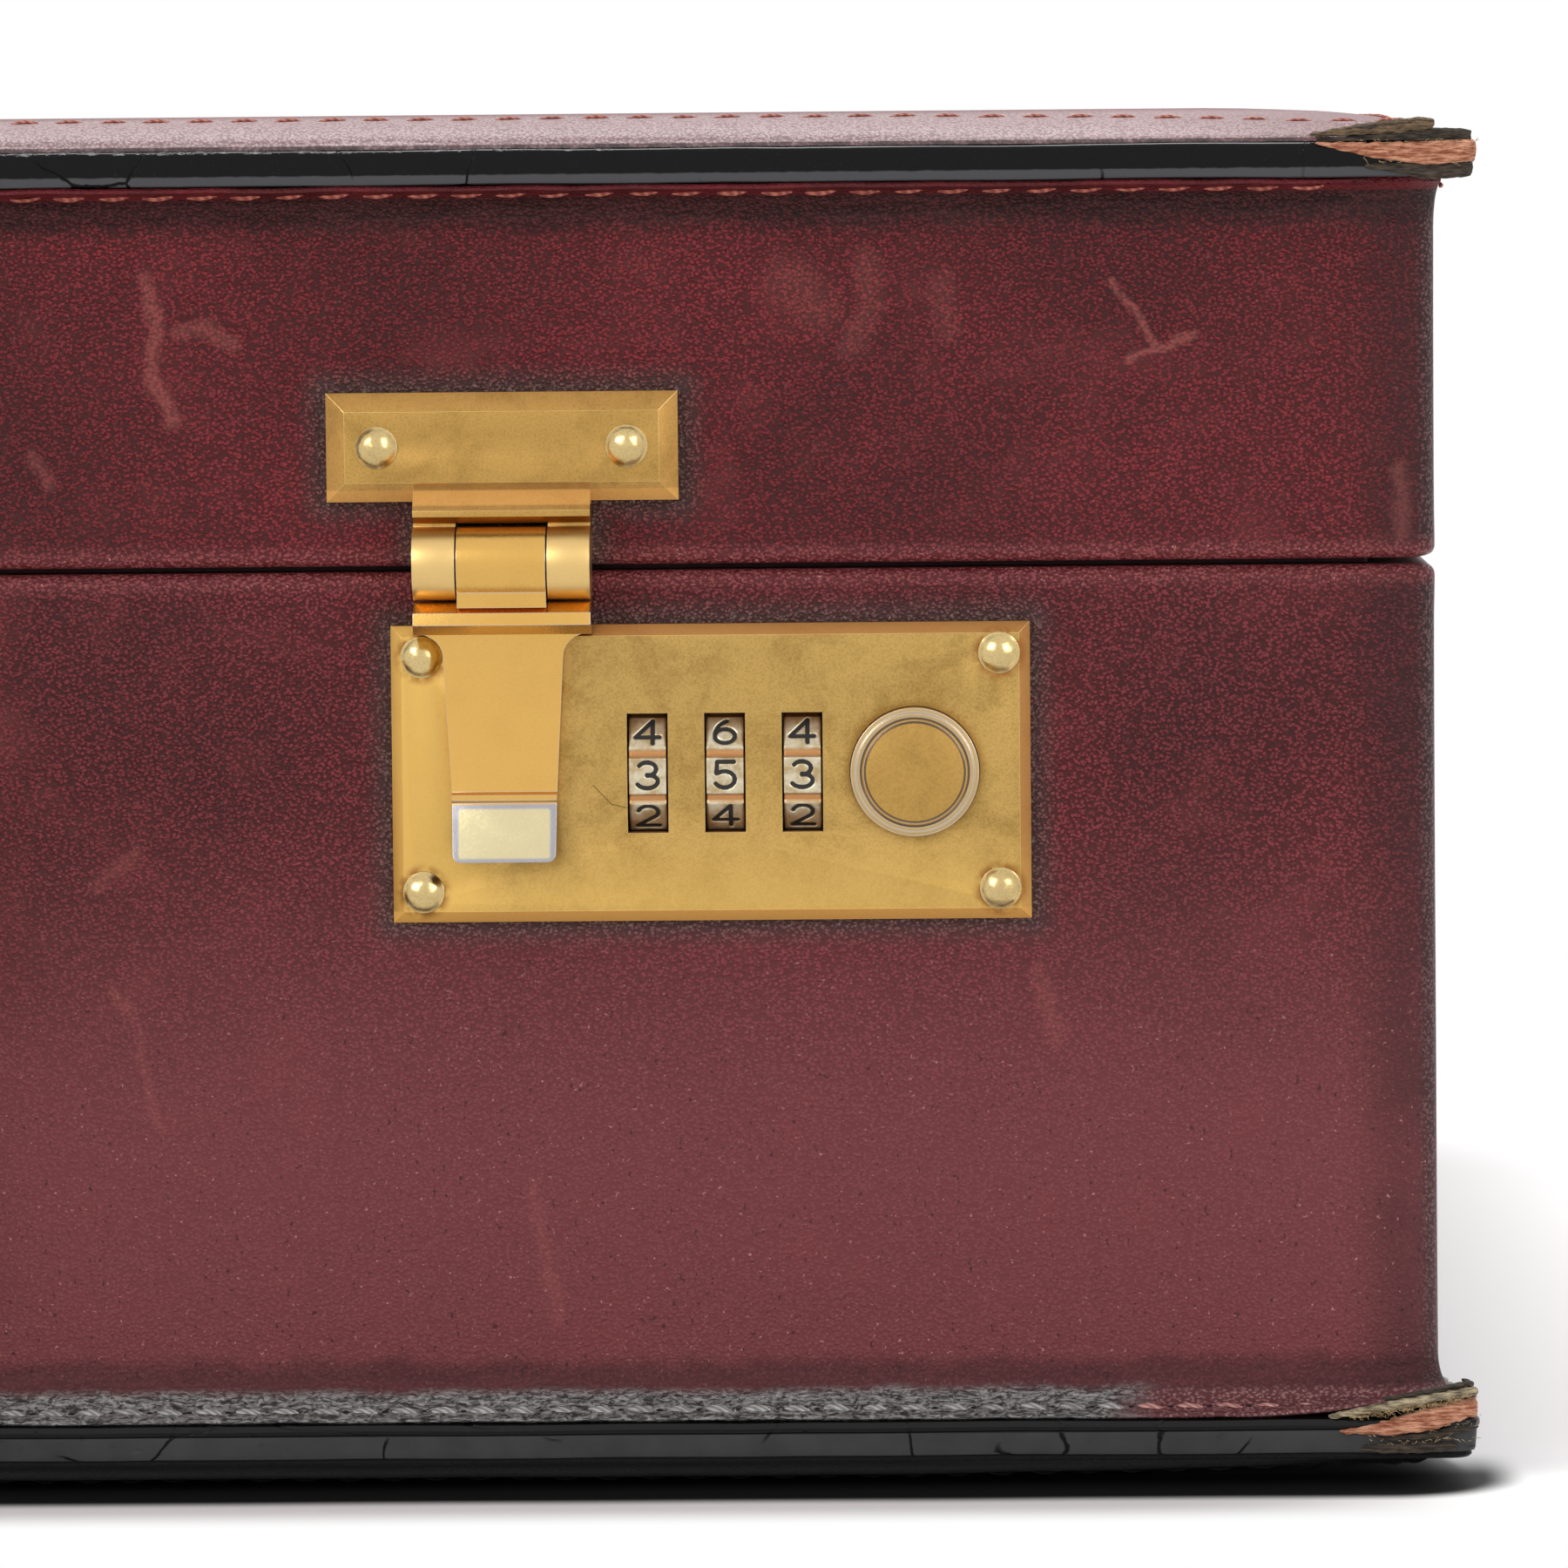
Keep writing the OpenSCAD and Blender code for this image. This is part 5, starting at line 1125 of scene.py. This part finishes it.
def ply(sx, sy, shape, lid, seed, rough, steps, sides):
    """Torn layer of leather bent round a corner. `shape` lists (s, out, z, half thickness out, half height)
    at points along it; its section is the squared oval |c|^0.6, |s|^0.6, and its skin is roughened."""
    shape = np.array(shape, float)
    s = np.linspace(shape[0, 0], shape[-1, 0], steps)
    out, z, deep, tall = [np.interp(s, shape[:, 0], shape[:, k]) for k in (1, 2, 3, 4)]
    end = np.minimum(s - s[0], s[-1] - s)
    close = np.sqrt(np.clip(1 - (1 - np.clip(end / 0.5, 0, 1)) ** 2, 0.0004, 1))
    a = 2 * np.pi * np.arange(sides) / sides
    c = np.sign(np.cos(a)) * np.abs(np.cos(a)) ** 0.6
    d = np.sign(np.sin(a)) * np.abs(np.sin(a)) ** 0.6
    o = out[:, None] + (deep * close)[:, None] * c
    h = z[:, None] + (tall * close)[:, None] * d
    flat, normal = corner_path(sx, sy, np.repeat(s, sides), o.ravel())
    points = np.column_stack([flat, h.ravel()])
    push = rough * (0.8 * wobble(points * [0.3, 0.3, 1], 0.35, seed) + 0.6 * wobble(points, 0.24, seed + 4))
    points[:, :2] += normal * push[:, None]
    points[:, 2] += rough * 0.7 * wobble(points, 0.6, seed + 9)
    if lid:
        points = for_lid(points)
    caps = np.array([np.arange(sides)[::-1], np.arange(sides) + (steps - 1) * sides])
    return points, [grid_faces(steps, sides, False, True), caps]


def hairs(sx, sy, count, s_range, out, z_range, length, lid, seed):
    """Loose fibres at a corner: thin bent strands that start on the torn edge and curl outwards."""
    rng = np.random.default_rng(seed)
    s = rng.uniform(*s_range, count)
    blend = (s - s_range[0]) / (s_range[1] - s_range[0])
    z = z_range[0] + (z_range[1] - z_range[0]) * blend + rng.normal(0, 0.12, count)
    flat, normal = corner_path(sx, sy, s, np.full(count, out))
    root = np.column_stack([flat, z])
    tangent = np.column_stack([-normal[:, 1], normal[:, 0], np.zeros(count)])
    size = length * rng.uniform(0.4, 1.0, count)
    way = np.column_stack([normal * rng.uniform(0.1, 0.7, (count, 1)), rng.uniform(-0.5, 0.6, count)])
    way += tangent * rng.uniform(-1, 1, (count, 1))
    bend = rng.normal(0, 0.5, (count, 3))
    t = np.linspace(0, 1, 5)[None, :, None]
    paths = root[:, None] + size[:, None, None] * (way[:, None] * t + bend[:, None] * t * t)
    radius = np.linspace(0.045, 0.015, 5)[None, :] * np.ones((count, 1))
    points, faces = strands(paths, radius, np.array([0.3, 0.2, 0.93]), 4)
    if lid:
        points = for_lid(points)
    return points, faces


def merged(shapes):
    """Joins several (points, face arrays) shapes into one."""
    points, faces, start = [], [], 0
    for p, sets in shapes:
        points.append(p)
        faces += [f + start for f in sets]
        start += len(p)
    return np.vstack(points), faces


# Torn layers of a corner. Each lists (s, out, z, half thickness out, half height) at points along it; the
# lid's z is measured down from its top
LID_LAYERS = {
    "fringe": [(3.9, 5.0, 1.7, 0.75, 0.58), (5.3, 5.0, 1.8, 0.85, 0.68), (10, 4.9, 2.2, 0.75, 0.58),
               (15.5, 4.6, 2.8, 0.4, 0.2)],
    "crest": [(-4, 4.0, 3.0, 0.6, 0.45), (1.0, 4.2, 2.9, 0.7, 0.66), (4.6, 4.8, 2.8, 0.7, 0.66),
              (11, 4.8, 3.1, 0.5, 0.3), (15, 4.7, 3.4, 0.3, 0.15)],
    "core": [(-4, 4.5, 4.4, 0.6, 0.95), (1.2, 4.75, 4.5, 0.65, 1.15), (4.3, 4.85, 4.65, 0.6, 1.2),
             (9.5, 5.0, 4.35, 0.5, 0.8), (15.3, 4.85, 3.6, 0.25, 0.12)],
    "lower": [(-5, 4.0, 6.1, 0.7, 0.75), (1.0, 4.25, 6.2, 0.8, 0.95), (4, 4.6, 6.5, 0.6, 0.8),
              (7.9, 4.8, 6.0, 0.45, 0.45), (10.5, 4.75, 5.9, 0.3, 0.2)],
}
BASE_LAYERS = {
    "fringe": [(-6, 4.0, 9.0, 0.5, 0.35), (0.5, 4.4, 9.5, 0.7, 0.42), (4.3, 4.9, 9.0, 0.7, 0.42),
               (8.7, 5.0, 8.2, 0.6, 0.42), (14.5, 4.8, 7.1, 0.35, 0.25)],
    "crest": [(-6, 3.8, 9.7, 0.4, 0.2), (0.5, 4.1, 10.2, 0.5, 0.2), (4.3, 4.6, 9.6, 0.55, 0.18),
              (9, 4.7, 8.8, 0.4, 0.15)],
    "core": [(-4, 4.1, 7.8, 0.4, 0.7), (0.4, 4.5, 7.8, 0.6, 0.95), (4.3, 4.95, 6.95, 0.6, 1.2),
             (8.7, 5.0, 6.0, 0.5, 0.8), (13.5, 4.85, 5.6, 0.25, 0.12)],
    "lower": [(-5, 4.1, 6.3, 0.7, 0.6), (0.4, 4.3, 6.1, 0.75, 0.62), (4.3, 4.85, 5.2, 0.5, 0.36),
              (8.7, 4.8, 4.95, 0.35, 0.25), (10, 4.75, 4.9, 0.2, 0.12)],
    "flap": [(1.7, 4.6, 4.1, 0.5, 0.45), (5, 4.95, 4.0, 0.5, 0.55), (9, 4.9, 3.9, 0.4, 0.5),
             (11.3, 4.75, 3.9, 0.25, 0.3)],
}


def worn_corner(name, sx, sy, lid, seed, torn):
    """One worn corner of the case's edge: dark layers, a fringe, an orange torn core and loose fibres.
    `torn` is how far the damage runs, as a share of the front right corner's."""
    body = "lid" if lid else "case_base"
    layers = LID_LAYERS if lid else BASE_LAYERS
    reach = 1 if sy < 0 else 0.8

    def layer(part, number, rough=0.1, steps=90, sides=16):
        shape = [(s * reach * torn, *rest) for s, *rest in layers[part]]
        return ply(sx, sy, shape, lid, seed + number, rough, steps, sides)

    def tuft(number, count, s_range, out, z_range, length):
        return hairs(sx, sy, count, s_range, out, z_range, length, lid, seed + number)

    def corner_piece(part, shape, finish):
        points, faces = shape
        place(name + part, make_mesh(name, points, faces), finish, body)

    dark = [layer("crest", 0), layer("lower", 1)]
    if not lid:
        dark.append(layer("flap", 7))
    corner_piece("_layers", merged(dark), DARK_HIDE)
    corner_piece("_fringe", layer("fringe", 2, 0.14, 110), BROWN_HIDE if lid else FRINGE_HIDE)
    corner_piece("_core", layer("core", 3, 0.14, 110, 20), ORANGE_HIDE)
    tufts = [tuft(0, 25, (-2, 11 * reach), 5.3, (3.5, 3.5) if lid else (6.9, 5.1), 0.6),
             tuft(1, 25, (0, 11 * reach), 5.3, (5.5, 5.2) if lid else (4.9, 4.5), 0.7)]
    if not lid:
        tufts.append(tuft(2, 200, (1, 13 * reach), 5.5, (9.0, 7.0), 0.8))
    corner_piece("_fibres", merged(tufts), TAN_FUZZ)


for index, (sx, sy) in enumerate(((1, -1), (-1, -1), (1, 1), (-1, 1))):
    label = ("front" if sy < 0 else "rear") + ("_right" if sx > 0 else "_left")
    amount = (1.0, 0.8, 0.7, 0.6)[index]
    worn_corner("base_corner_" + label, sx, sy, False, 10 * index + 1, amount)
    worn_corner("lid_corner_" + label, sx, sy, True, 10 * index + 5, amount)


# Brass parts

def softened(node, finish, body, width, segments=2):
    """Copy of a rigid CAD node with its edges rounded and marked as worn, in place of the node."""
    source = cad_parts[node].data
    work = bmesh.new()
    work.from_mesh(source)
    bmesh.ops.remove_doubles(work, verts=work.verts, dist=2e-6)
    bmesh.ops.dissolve_limit(work, angle_limit=math.radians(0.6), verts=work.verts, edges=work.edges)
    edges = [e for e in work.edges if len(e.link_faces) == 2 and e.calc_face_angle() > math.radians(24)]
    done = bmesh.ops.bevel(work, geom=edges, offset=width * MM, segments=segments, profile=0.6,
                           affect="EDGES", clamp_overlap=True)
    rounded = set(done["faces"])
    bmesh.ops.recalc_face_normals(work, faces=work.faces)
    worn = [float(all(f in rounded for f in v.link_faces)) for v in work.verts]
    mesh = bpy.data.meshes.new(node + "_soft")
    work.to_mesh(mesh)
    work.free()
    add_values(mesh, worn=worn)
    return place(node + "_brass", mesh, finish, body, [node], 35)


for side in ("right", "left"):
    softened("lock_plate_" + side, PLATE_BRASS, "case_base", 0.13)
    softened("hasp_plate_" + side, TEE_BRASS, "lid", 0.16)
    softened("hasp_" + side, HASP_BRASS, "hasp_" + side, 0.26, 3)
    softened("push_button_" + side, BUTTON_BRASS, "button_" + side, 0.12)
softened("handle_plates", TEE_BRASS, "case_base", 0.16)
softened("handle_links", OLD_BRASS, "handle", 0.2)


def dome(r, rise):
    """Profile of a domed head: a circular arc from its rim at radius r up to `rise`."""
    ball = (r * r + rise * rise) / (2 * rise)
    top = math.asin(r / ball)
    a = np.linspace(top, 0, 10)
    return [(ball * math.cos(t) - ball + rise, max(ball * math.sin(t), 0.0)) for t in a]


def studs(name, node, centres, r, rise, way, body, depth=6.0):
    """Domed brass studs: each head is turned round its own axis, with a shank behind it."""
    shank = 1.1
    profile = [(-depth, 0.0), (-depth, shank), (-0.02, shank), (-0.02, r * 0.98), (0.12, r)]
    profile += [(p + 0.02, q) for p, q in dome(r, rise)[1:]]
    steps = 40
    shapes = []
    for centre in centres:
        points = turned(profile, centre, way, steps)
        shapes.append((points, [grid_faces(len(profile), steps, False, True)]))
    points, faces = merged(shapes)
    mesh = make_mesh(name, points, faces, merge=True)
    add_values(mesh, worn=np.zeros(len(mesh.vertices)))
    return place(name, mesh, RIVET_BRASS, body, [node], 50)


SIDES = (-1, 1)
FRONT = (0, -1, 0)
BACK = (0, 1, 0)
plate_studs = [(s * LOCK_X + x * PLATE_STUD_X, -162.2, LOCK_Z + z * PLATE_STUD_Z)
               for s in SIDES for x in SIDES for z in SIDES]
tee_studs = [(s * HASP_X + x, -162.8, TEE_Z) for s in SIDES for x in (-12.5, 12.5)]
grip_studs = [(s * 62, -161.8, 60 + z) for s in SIDES for z in (-10, 10)]
studs("plate_studs", "lock_plate_rivets", plate_studs, 2.08, 1.05, FRONT, "case_base")
studs("tee_studs", "hasp_plate_rivets", tee_studs, 2.12, 1.15, FRONT, "lid")
studs("grip_studs", "handle_plate_rivets", grip_studs, 1.875, 1.3, FRONT, "case_base")
for half, body, way in (("base", "case_base", -1), ("lid", "lid", 1)):
    hinge_studs = [(40 * (k - 4.5), 161.2, SEAM_Z + way * HINGE_STUD_RISE) for k in range(10)]
    studs("hinge_studs_" + half, "hinge_" + half + "_rivets", hinge_studs, 2.0, 0.9, BACK, body, 4.0)


# Number wheels

def stroke(cx, cy, rx, ry, a0, a1, steps=12):
    """Points of an elliptic arc of a numeral."""
    a = np.radians(np.linspace(a0, a1, steps))
    return [(cx + rx * math.cos(t), cy + ry * math.sin(t)) for t in a]


def numerals():
    """Strokes of the numbers 0 to 9 in a box 1 wide and 1 high about its middle."""
    ring = stroke(0, 0, 0.42, 0.5, 0, 360, 24)
    six = stroke(0, -0.19, 0.42, 0.31, 180, -180, 22) + stroke(0.3, -0.19, 0.72, 0.69, 180, 108, 8)
    return (
        [ring],
        [[(-0.25, 0.3), (0.05, 0.5), (0.05, -0.5)]],
        [stroke(0, 0.18, 0.42, 0.32, 165, -35) + [(-0.45, -0.5), (0.47, -0.5)]],
        [stroke(-0.02, 0.24, 0.38, 0.26, 150, -90) + stroke(-0.02, -0.24, 0.45, 0.26, 90, -155)],
        [[(0.22, -0.5), (0.22, 0.5), (-0.5, -0.22), (0.5, -0.22)]],
        [[(0.38, 0.5), (-0.32, 0.5), (-0.36, 0.06)] + stroke(-0.02, -0.18, 0.43, 0.32, 128, -150)],
        [six],
        [[(-0.45, 0.5), (0.45, 0.5), (-0.12, -0.5)]],
        [stroke(0, 0.25, 0.34, 0.25, 0, 360, 20), stroke(0, -0.24, 0.42, 0.26, 0, 360, 20)],
        [[(-x, -y) for x, y in six]],
    )


def ink_depth(x, y, strokes, half_width):
    """How far each point lies in a numeral's strokes: 1 inside half_width of a line, 0 outside it."""
    gap = np.full(np.shape(x), 9.0)
    for points in strokes:
        p = np.array(points) * [2.4, 2.6] + [0, 0.1]
        for (x0, y0), (x1, y1) in zip(p[:-1], p[1:]):
            span = (x1 - x0) ** 2 + (y1 - y0) ** 2 + 1e-9
            t = np.clip(((x - x0) * (x1 - x0) + (y - y0) * (y1 - y0)) / span, 0, 1)
            gap = np.minimum(gap, np.hypot(x - x0 - t * (x1 - x0), y - y0 - t * (y1 - y0)))
    return 1 - smoothstep(gap, half_width - 0.07, half_width + 0.05)


# Sides of a wheel, as (radius, x) points from its right-hand rim in to the bore and out to its left-hand rim
HUB = ((6.6, 1.85), (3.0, 1.85), (3.0, 3.5), (1.54, 3.5), (1.54, -3.5), (3.0, -3.5), (3.0, -1.85),
       (6.6, -1.85))


def number_wheel(side, k, middle):
    """Ten-sided wheel. With R_a the distance to a facet, e its outward and t its upward direction, facet q
    has the points (R_a - depth) e + h t + x, with a groove between facets and the number cut 0.13 mm deep.
    The grid closes through the hub and the bore."""
    apothem = WHEEL_R * math.cos(math.radians(18))
    half = WHEEL_R * math.sin(math.radians(18))
    xs = np.linspace(-1.85, 1.85, 38)
    hs = np.linspace(-half, half, 49)[:-1]
    x, h = np.meshgrid(xs, hs)
    strokes = numerals()
    rows, inks, grooves = [], [], []
    for q in range(10):
        a = math.radians(36 * q - 2.5)
        outward = np.array([0, -math.cos(a), math.sin(a)])
        upward = np.array([0, math.sin(a), math.cos(a)])
        ink = ink_depth(x, h, strokes[(middle + q) % 10], 0.23)
        groove = smoothstep(np.abs(h), half - 0.62, half - 0.32)
        edge = smoothstep(np.abs(x), 1.7, 1.85)
        depth = 0.13 * ink + 0.4 * groove + 0.1 * edge
        face = (apothem - depth)[..., None] * outward + h[..., None] * upward
        face = face + x[..., None] * np.array([1, 0, 0])
        spoke = face[:, -1] * [0, 1, 1]
        spoke /= np.linalg.norm(spoke, axis=1, keepdims=True)
        ring = [face[:, j] for j in range(len(xs))]
        ring += [spoke * r + [hub_x, 0, 0] for r, hub_x in HUB]
        rows.append(np.stack(ring, 1))
        pad = np.zeros((len(hs), len(HUB)))
        inks.append(np.hstack([ink, pad]))
        grooves.append(np.hstack([groove, pad + 1]))
    grid = np.concatenate(rows)
    points = grid.reshape(-1, 3) + [side * LOCK_X + side * WHEEL_XS[k], AXLE_Y, LOCK_Z]
    mesh = make_mesh("wheel", points, [grid_faces(grid.shape[0], grid.shape[1], True, True)])
    add_values(mesh, ink=np.concatenate(inks), groove=np.concatenate(grooves))
    label = ("right" if side > 0 else "left") + f"_{k + 1}"
    place("wheel_" + label, mesh, NUMBERS, "wheel_" + label, ["number_wheel_" + label], 50)


for side, combination in ((1, (3, 5, 3)), (-1, (0, 7, 1))):
    for k in range(3):
        number_wheel(side, k, combination[k])


# Handle and pocket

def grip_radius(x):
    """Radius of the grip, which swells towards its middle: 6.2 + 2 (1 - (x / half length)^2)."""
    return 6.2 + 2.0 * (1 - (x / GRIP_HALF) ** 2)


def build_grip():
    """Stuffed leather grip: circles rounded off at both ends, with a raised seam along the underside."""
    steps = 40
    x = np.linspace(-GRIP_HALF, GRIP_HALF, 72)
    end = np.clip((GRIP_HALF - np.abs(x)) / 2.2, 0, 1)
    r = grip_radius(x) * np.sqrt(1 - (1 - end) ** 2 * 0.45)
    a = 2 * np.pi * np.arange(steps) / steps
    seam = np.exp(-((a - 1.5 * np.pi) / 0.16) ** 2)
    radius = r[:, None] * (1 + 0.075 * seam)
    y = HANDLE_Y + radius * np.cos(a)
    z = GRIP_Z + radius * np.sin(a)
    grid = np.stack([x[:, None] + 0 * y, y, z], -1)
    core = 3.06
    for s in (1, -1):
        ring = [np.full(steps, s * GRIP_HALF), HANDLE_Y + core * np.cos(a), GRIP_Z + core * np.sin(a)]
        grid = np.concatenate([grid, [np.stack(ring, -1)]])
    return grid.reshape(-1, 3), [grid_faces(len(grid), steps, True, True)]


def grip_stitches(name, y):
    """One row of stitches under the grip, `y` beside its middle, 3 mm apart on the swell of the leather."""
    centre = np.linspace(-54, 54, 37)
    row = np.zeros((37, 6, 3))
    row[..., 0] = centre[:, None] + np.linspace(-1.0, 1.0, 6)
    swell = grip_radius(row[..., 0])
    row[..., 1] = HANDLE_Y + y
    row[..., 2] = GRIP_Z - np.sqrt(swell ** 2 - y ** 2) - 0.18 * np.sin(np.pi * np.linspace(0, 1, 6))
    points, faces = strands(row, 0.28, np.array([0, 0, -1.0]), 6, 0.7)
    place(name, make_mesh("grip_stitches", points, faces), TERRACOTTA_THREAD, "handle")


points, faces = build_grip()
place("grip_leather", make_mesh("grip", points, faces), GRIP_HIDE, "handle", ["handle_grip"])
grip_stitches("grip_stitches_1", 1.25)
grip_stitches("grip_stitches_2", -1.25)


def build_pocket():
    """Document pocket under the lid: a sheet 1.05 mm thick that rises to the lining at its back and sides,
    z = 128.5 + 1.6 rise + 0.12 wobble, with a rolled hem 0.6 mm thicker along its open front edge."""
    u = np.unique(np.concatenate([np.linspace(-185.4, 185.4, 80), [-184.5, -183, 184.5, 183]]))
    v = np.unique(np.concatenate([np.linspace(-59.8, 147.8, 50), [-59.0, -58, -57, 147, 146]]))
    x, y = np.meshgrid(u, v)
    side = np.maximum(np.abs(x) - 180.4, 0) / 5
    back = np.maximum(y - 142.8, 0) / 5
    rise = smoothstep(np.maximum(side, back), 0, 1)
    hem = smoothstep(-y, 52.5, 54.5)
    z = 128.5 + 1.6 * rise + 0.12 * wobble(np.stack([x, y, 0 * x], -1), 30)
    low = np.stack([x, y, z - 0.05], -1)
    high = np.stack([x, y, z + 1.0 + 0.6 * hem], -1)
    n = x.size
    rows, columns = x.shape
    faces = [grid_faces(rows, columns), grid_faces(rows, columns, start=n)]
    index = np.arange(n).reshape(rows, columns)
    rim = np.concatenate([index[0], index[1:, -1], index[-1, -2::-1], index[-2:0:-1, 0]])
    after = np.roll(rim, -1)
    faces.append(np.stack([rim, after, after + n, rim + n], -1))
    return np.concatenate([low.reshape(-1, 3), high.reshape(-1, 3)]), faces


points, faces = build_pocket()
place("pocket_leather", make_mesh("pocket", points, faces), POCKET_HIDE, "lid", ["document_pocket"])


# CAD nodes that stay, with better materials

def dress(finish, *names):
    """Gives CAD nodes a better material."""
    for name in names:
        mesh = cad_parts[name].data
        mesh.materials.clear()
        mesh.materials.append(finish)


def pairs(*parts):
    """Names of the right and left one of each part."""
    return [part + "_" + side for part in parts for side in ("right", "left")]


dress(PLYWOOD, "base_boards", "base_bottom_board", "lid_boards", "lid_top_board")
dress(OLD_BRASS, "hinge_base_leaf", "hinge_lid_leaf", "stay_base_brackets", "stay_lid_brackets", "rear_feet")
dress(OLD_BRASS, *pairs("stay_lower", "stay_upper"))
dress(STEEL, "hinge_pin", "wheel_axles", "wheel_springs", "hasp_pins", "handle_pins", "handle_core")
dress(STEEL, *pairs("lock_housing", "button_spring", "latch_bolt", "bolt_spring"))


# Floor, light and camera

def white_floor():
    """Pale floor: black in the contact shadow that reaches forward from the case, grey in a painted shadow
    beside its sides, and pure white to the camera away from it."""
    f = Finish("white floor", Specular_IOR_Level=0.2, Roughness=0.6)
    seen = f.node("ShaderNodeLightPath", out="Is Camera Ray")
    shiny = f.node("ShaderNodeLightPath", out="Is Glossy Ray")
    clear = f.node("ShaderNodeLightPath", out="Is Transmission Ray")
    dx = (f.x.size() - (WALL_X - 5)).most(0)
    dy = (f.y.size() - WALL_Y).most(0)
    gap = (dx * dx + dy * dy) ** 0.5 + f.noise(60) * 2
    contact = gap.ramp(15.5, 10.5) * (f.y + 150).ramp(10, -8) * seen
    # painted shadow: the floor painted grey beside the case's sides
    beside = (f.x.size() - WALL_X).ramp(70, 5) * (f.y + WALL_Y).ramp(-6, 14) * seen
    colour = f.mix(beside, (0.93, 0.93, 0.93, 1), (0.74, 0.74, 0.74, 1))
    colour = f.mix(contact, colour, (0.002, 0.002, 0.002, 1))
    far = (f.y + (WALL_Y + 12)).ramp(-3, -16)
    far = far.most((f.x.size() - WALL_X).most(f.y.size() - WALL_Y).ramp(120, 260))
    rays = seen.most(shiny).most(clear)
    glow = f.node("ShaderNodeEmission", None, (1, 1, 1, 1), 1.0)
    both = f.node("ShaderNodeMixShader", None, rays * far, Wire(f, f.shader.outputs[0]), glow)
    f.links.new(both.socket, f.output.inputs[0])
    return f.wear(Base_Color=colour)


FLOOR_HALF = 4000
floor_corners = np.array([(-1, -1, 0), (1, -1, 0), (1, 1, 0), (-1, 1, 0)]) * FLOOR_HALF
floor_mesh = make_mesh("floor", floor_corners, [np.array([[0, 1, 2, 3]])])
floor = bpy.data.objects.new("floor", floor_mesh)
bpy.context.scene.collection.objects.link(floor)
floor_mesh.materials.append(white_floor())

scene = bpy.context.scene
scene.view_settings.view_transform = "Standard"


def studio_world():
    """White to the camera, in reflections and through glass, and half as bright as a light."""
    world = bpy.data.worlds.new("studio")
    world.use_nodes = True
    tree = world.node_tree
    tree.nodes.clear()
    path = tree.nodes.new("ShaderNodeLightPath")
    strength = None
    for ray in ("Is Camera Ray", "Is Glossy Ray", "Is Transmission Ray"):
        if strength is None:
            strength = path.outputs[ray]
            continue
        most = tree.nodes.new("ShaderNodeMath")
        most.operation = "MAXIMUM"
        tree.links.new(strength, most.inputs[0])
        tree.links.new(path.outputs[ray], most.inputs[1])
        strength = most.outputs[0]
    shade = tree.nodes.new("ShaderNodeMix")
    shade.data_type = "FLOAT"
    shade.inputs[2].default_value = 0.5
    shade.inputs[3].default_value = 1.0
    tree.links.new(strength, shade.inputs[0])
    sky = tree.nodes.new("ShaderNodeBackground")
    sky.inputs["Color"].default_value = (1, 1, 1, 1)
    tree.links.new(shade.outputs[0], sky.inputs["Strength"])
    end = tree.nodes.new("ShaderNodeOutputWorld")
    tree.links.new(sky.outputs[0], end.inputs[0])
    return world


scene.world = studio_world()


def softbox(name, place_at, aim, size, watts):
    """Rectangular area lamp that faces a point."""
    lamp = bpy.data.lights.new(name, "AREA")
    lamp.shape = "RECTANGLE"
    lamp.size, lamp.size_y = size
    lamp.energy = watts
    holder = bpy.data.objects.new(name, lamp)
    holder.location = place_at
    holder.rotation_euler = (Vector(aim) - Vector(place_at)).to_track_quat("-Z", "Y").to_euler()
    scene.collection.objects.link(holder)


softbox("overhead", (0.25, 0.35, 1.5), (0.1, -0.05, 0.05), (0.9, 0.6), 24)
softbox("front_left", (-0.9, -1.5, 0.9), (0.1, -0.16, 0.07), (0.9, 0.9), 13)
softbox("front_right", (1.1, -1.3, 0.7), (0.15, -0.16, 0.07), (0.7, 0.9), 7)


def look(position, yaw, pitch, roll):
    """Camera matrix: it looks along +Y turned by yaw towards +X and tipped down by pitch, then rolled."""
    y, p, r = (math.radians(v) for v in (yaw, pitch, roll))
    forward = Vector((math.sin(y) * math.cos(p), math.cos(y) * math.cos(p), -math.sin(p)))
    right = Vector((math.cos(y), -math.sin(y), 0))
    up = right.cross(forward)
    side = right * math.cos(r) + up * math.sin(r)
    above = up * math.cos(r) - right * math.sin(r)
    matrix = Matrix((side, above, -forward)).transposed().to_4x4()
    matrix.translation = Vector(position) * MM
    return matrix


camera_data = bpy.data.cameras.new("camera")
camera_data.sensor_width = SENSOR_MM
camera_data.lens = FOCAL_PIXELS / PHOTO_PIXELS * SENSOR_MM
camera_data.clip_start = 0.05
camera = bpy.data.objects.new("camera", camera_data)
camera.matrix_world = look(CAMERA_AT, *CAMERA_TURN)
scene.collection.objects.link(camera)
scene.camera = camera
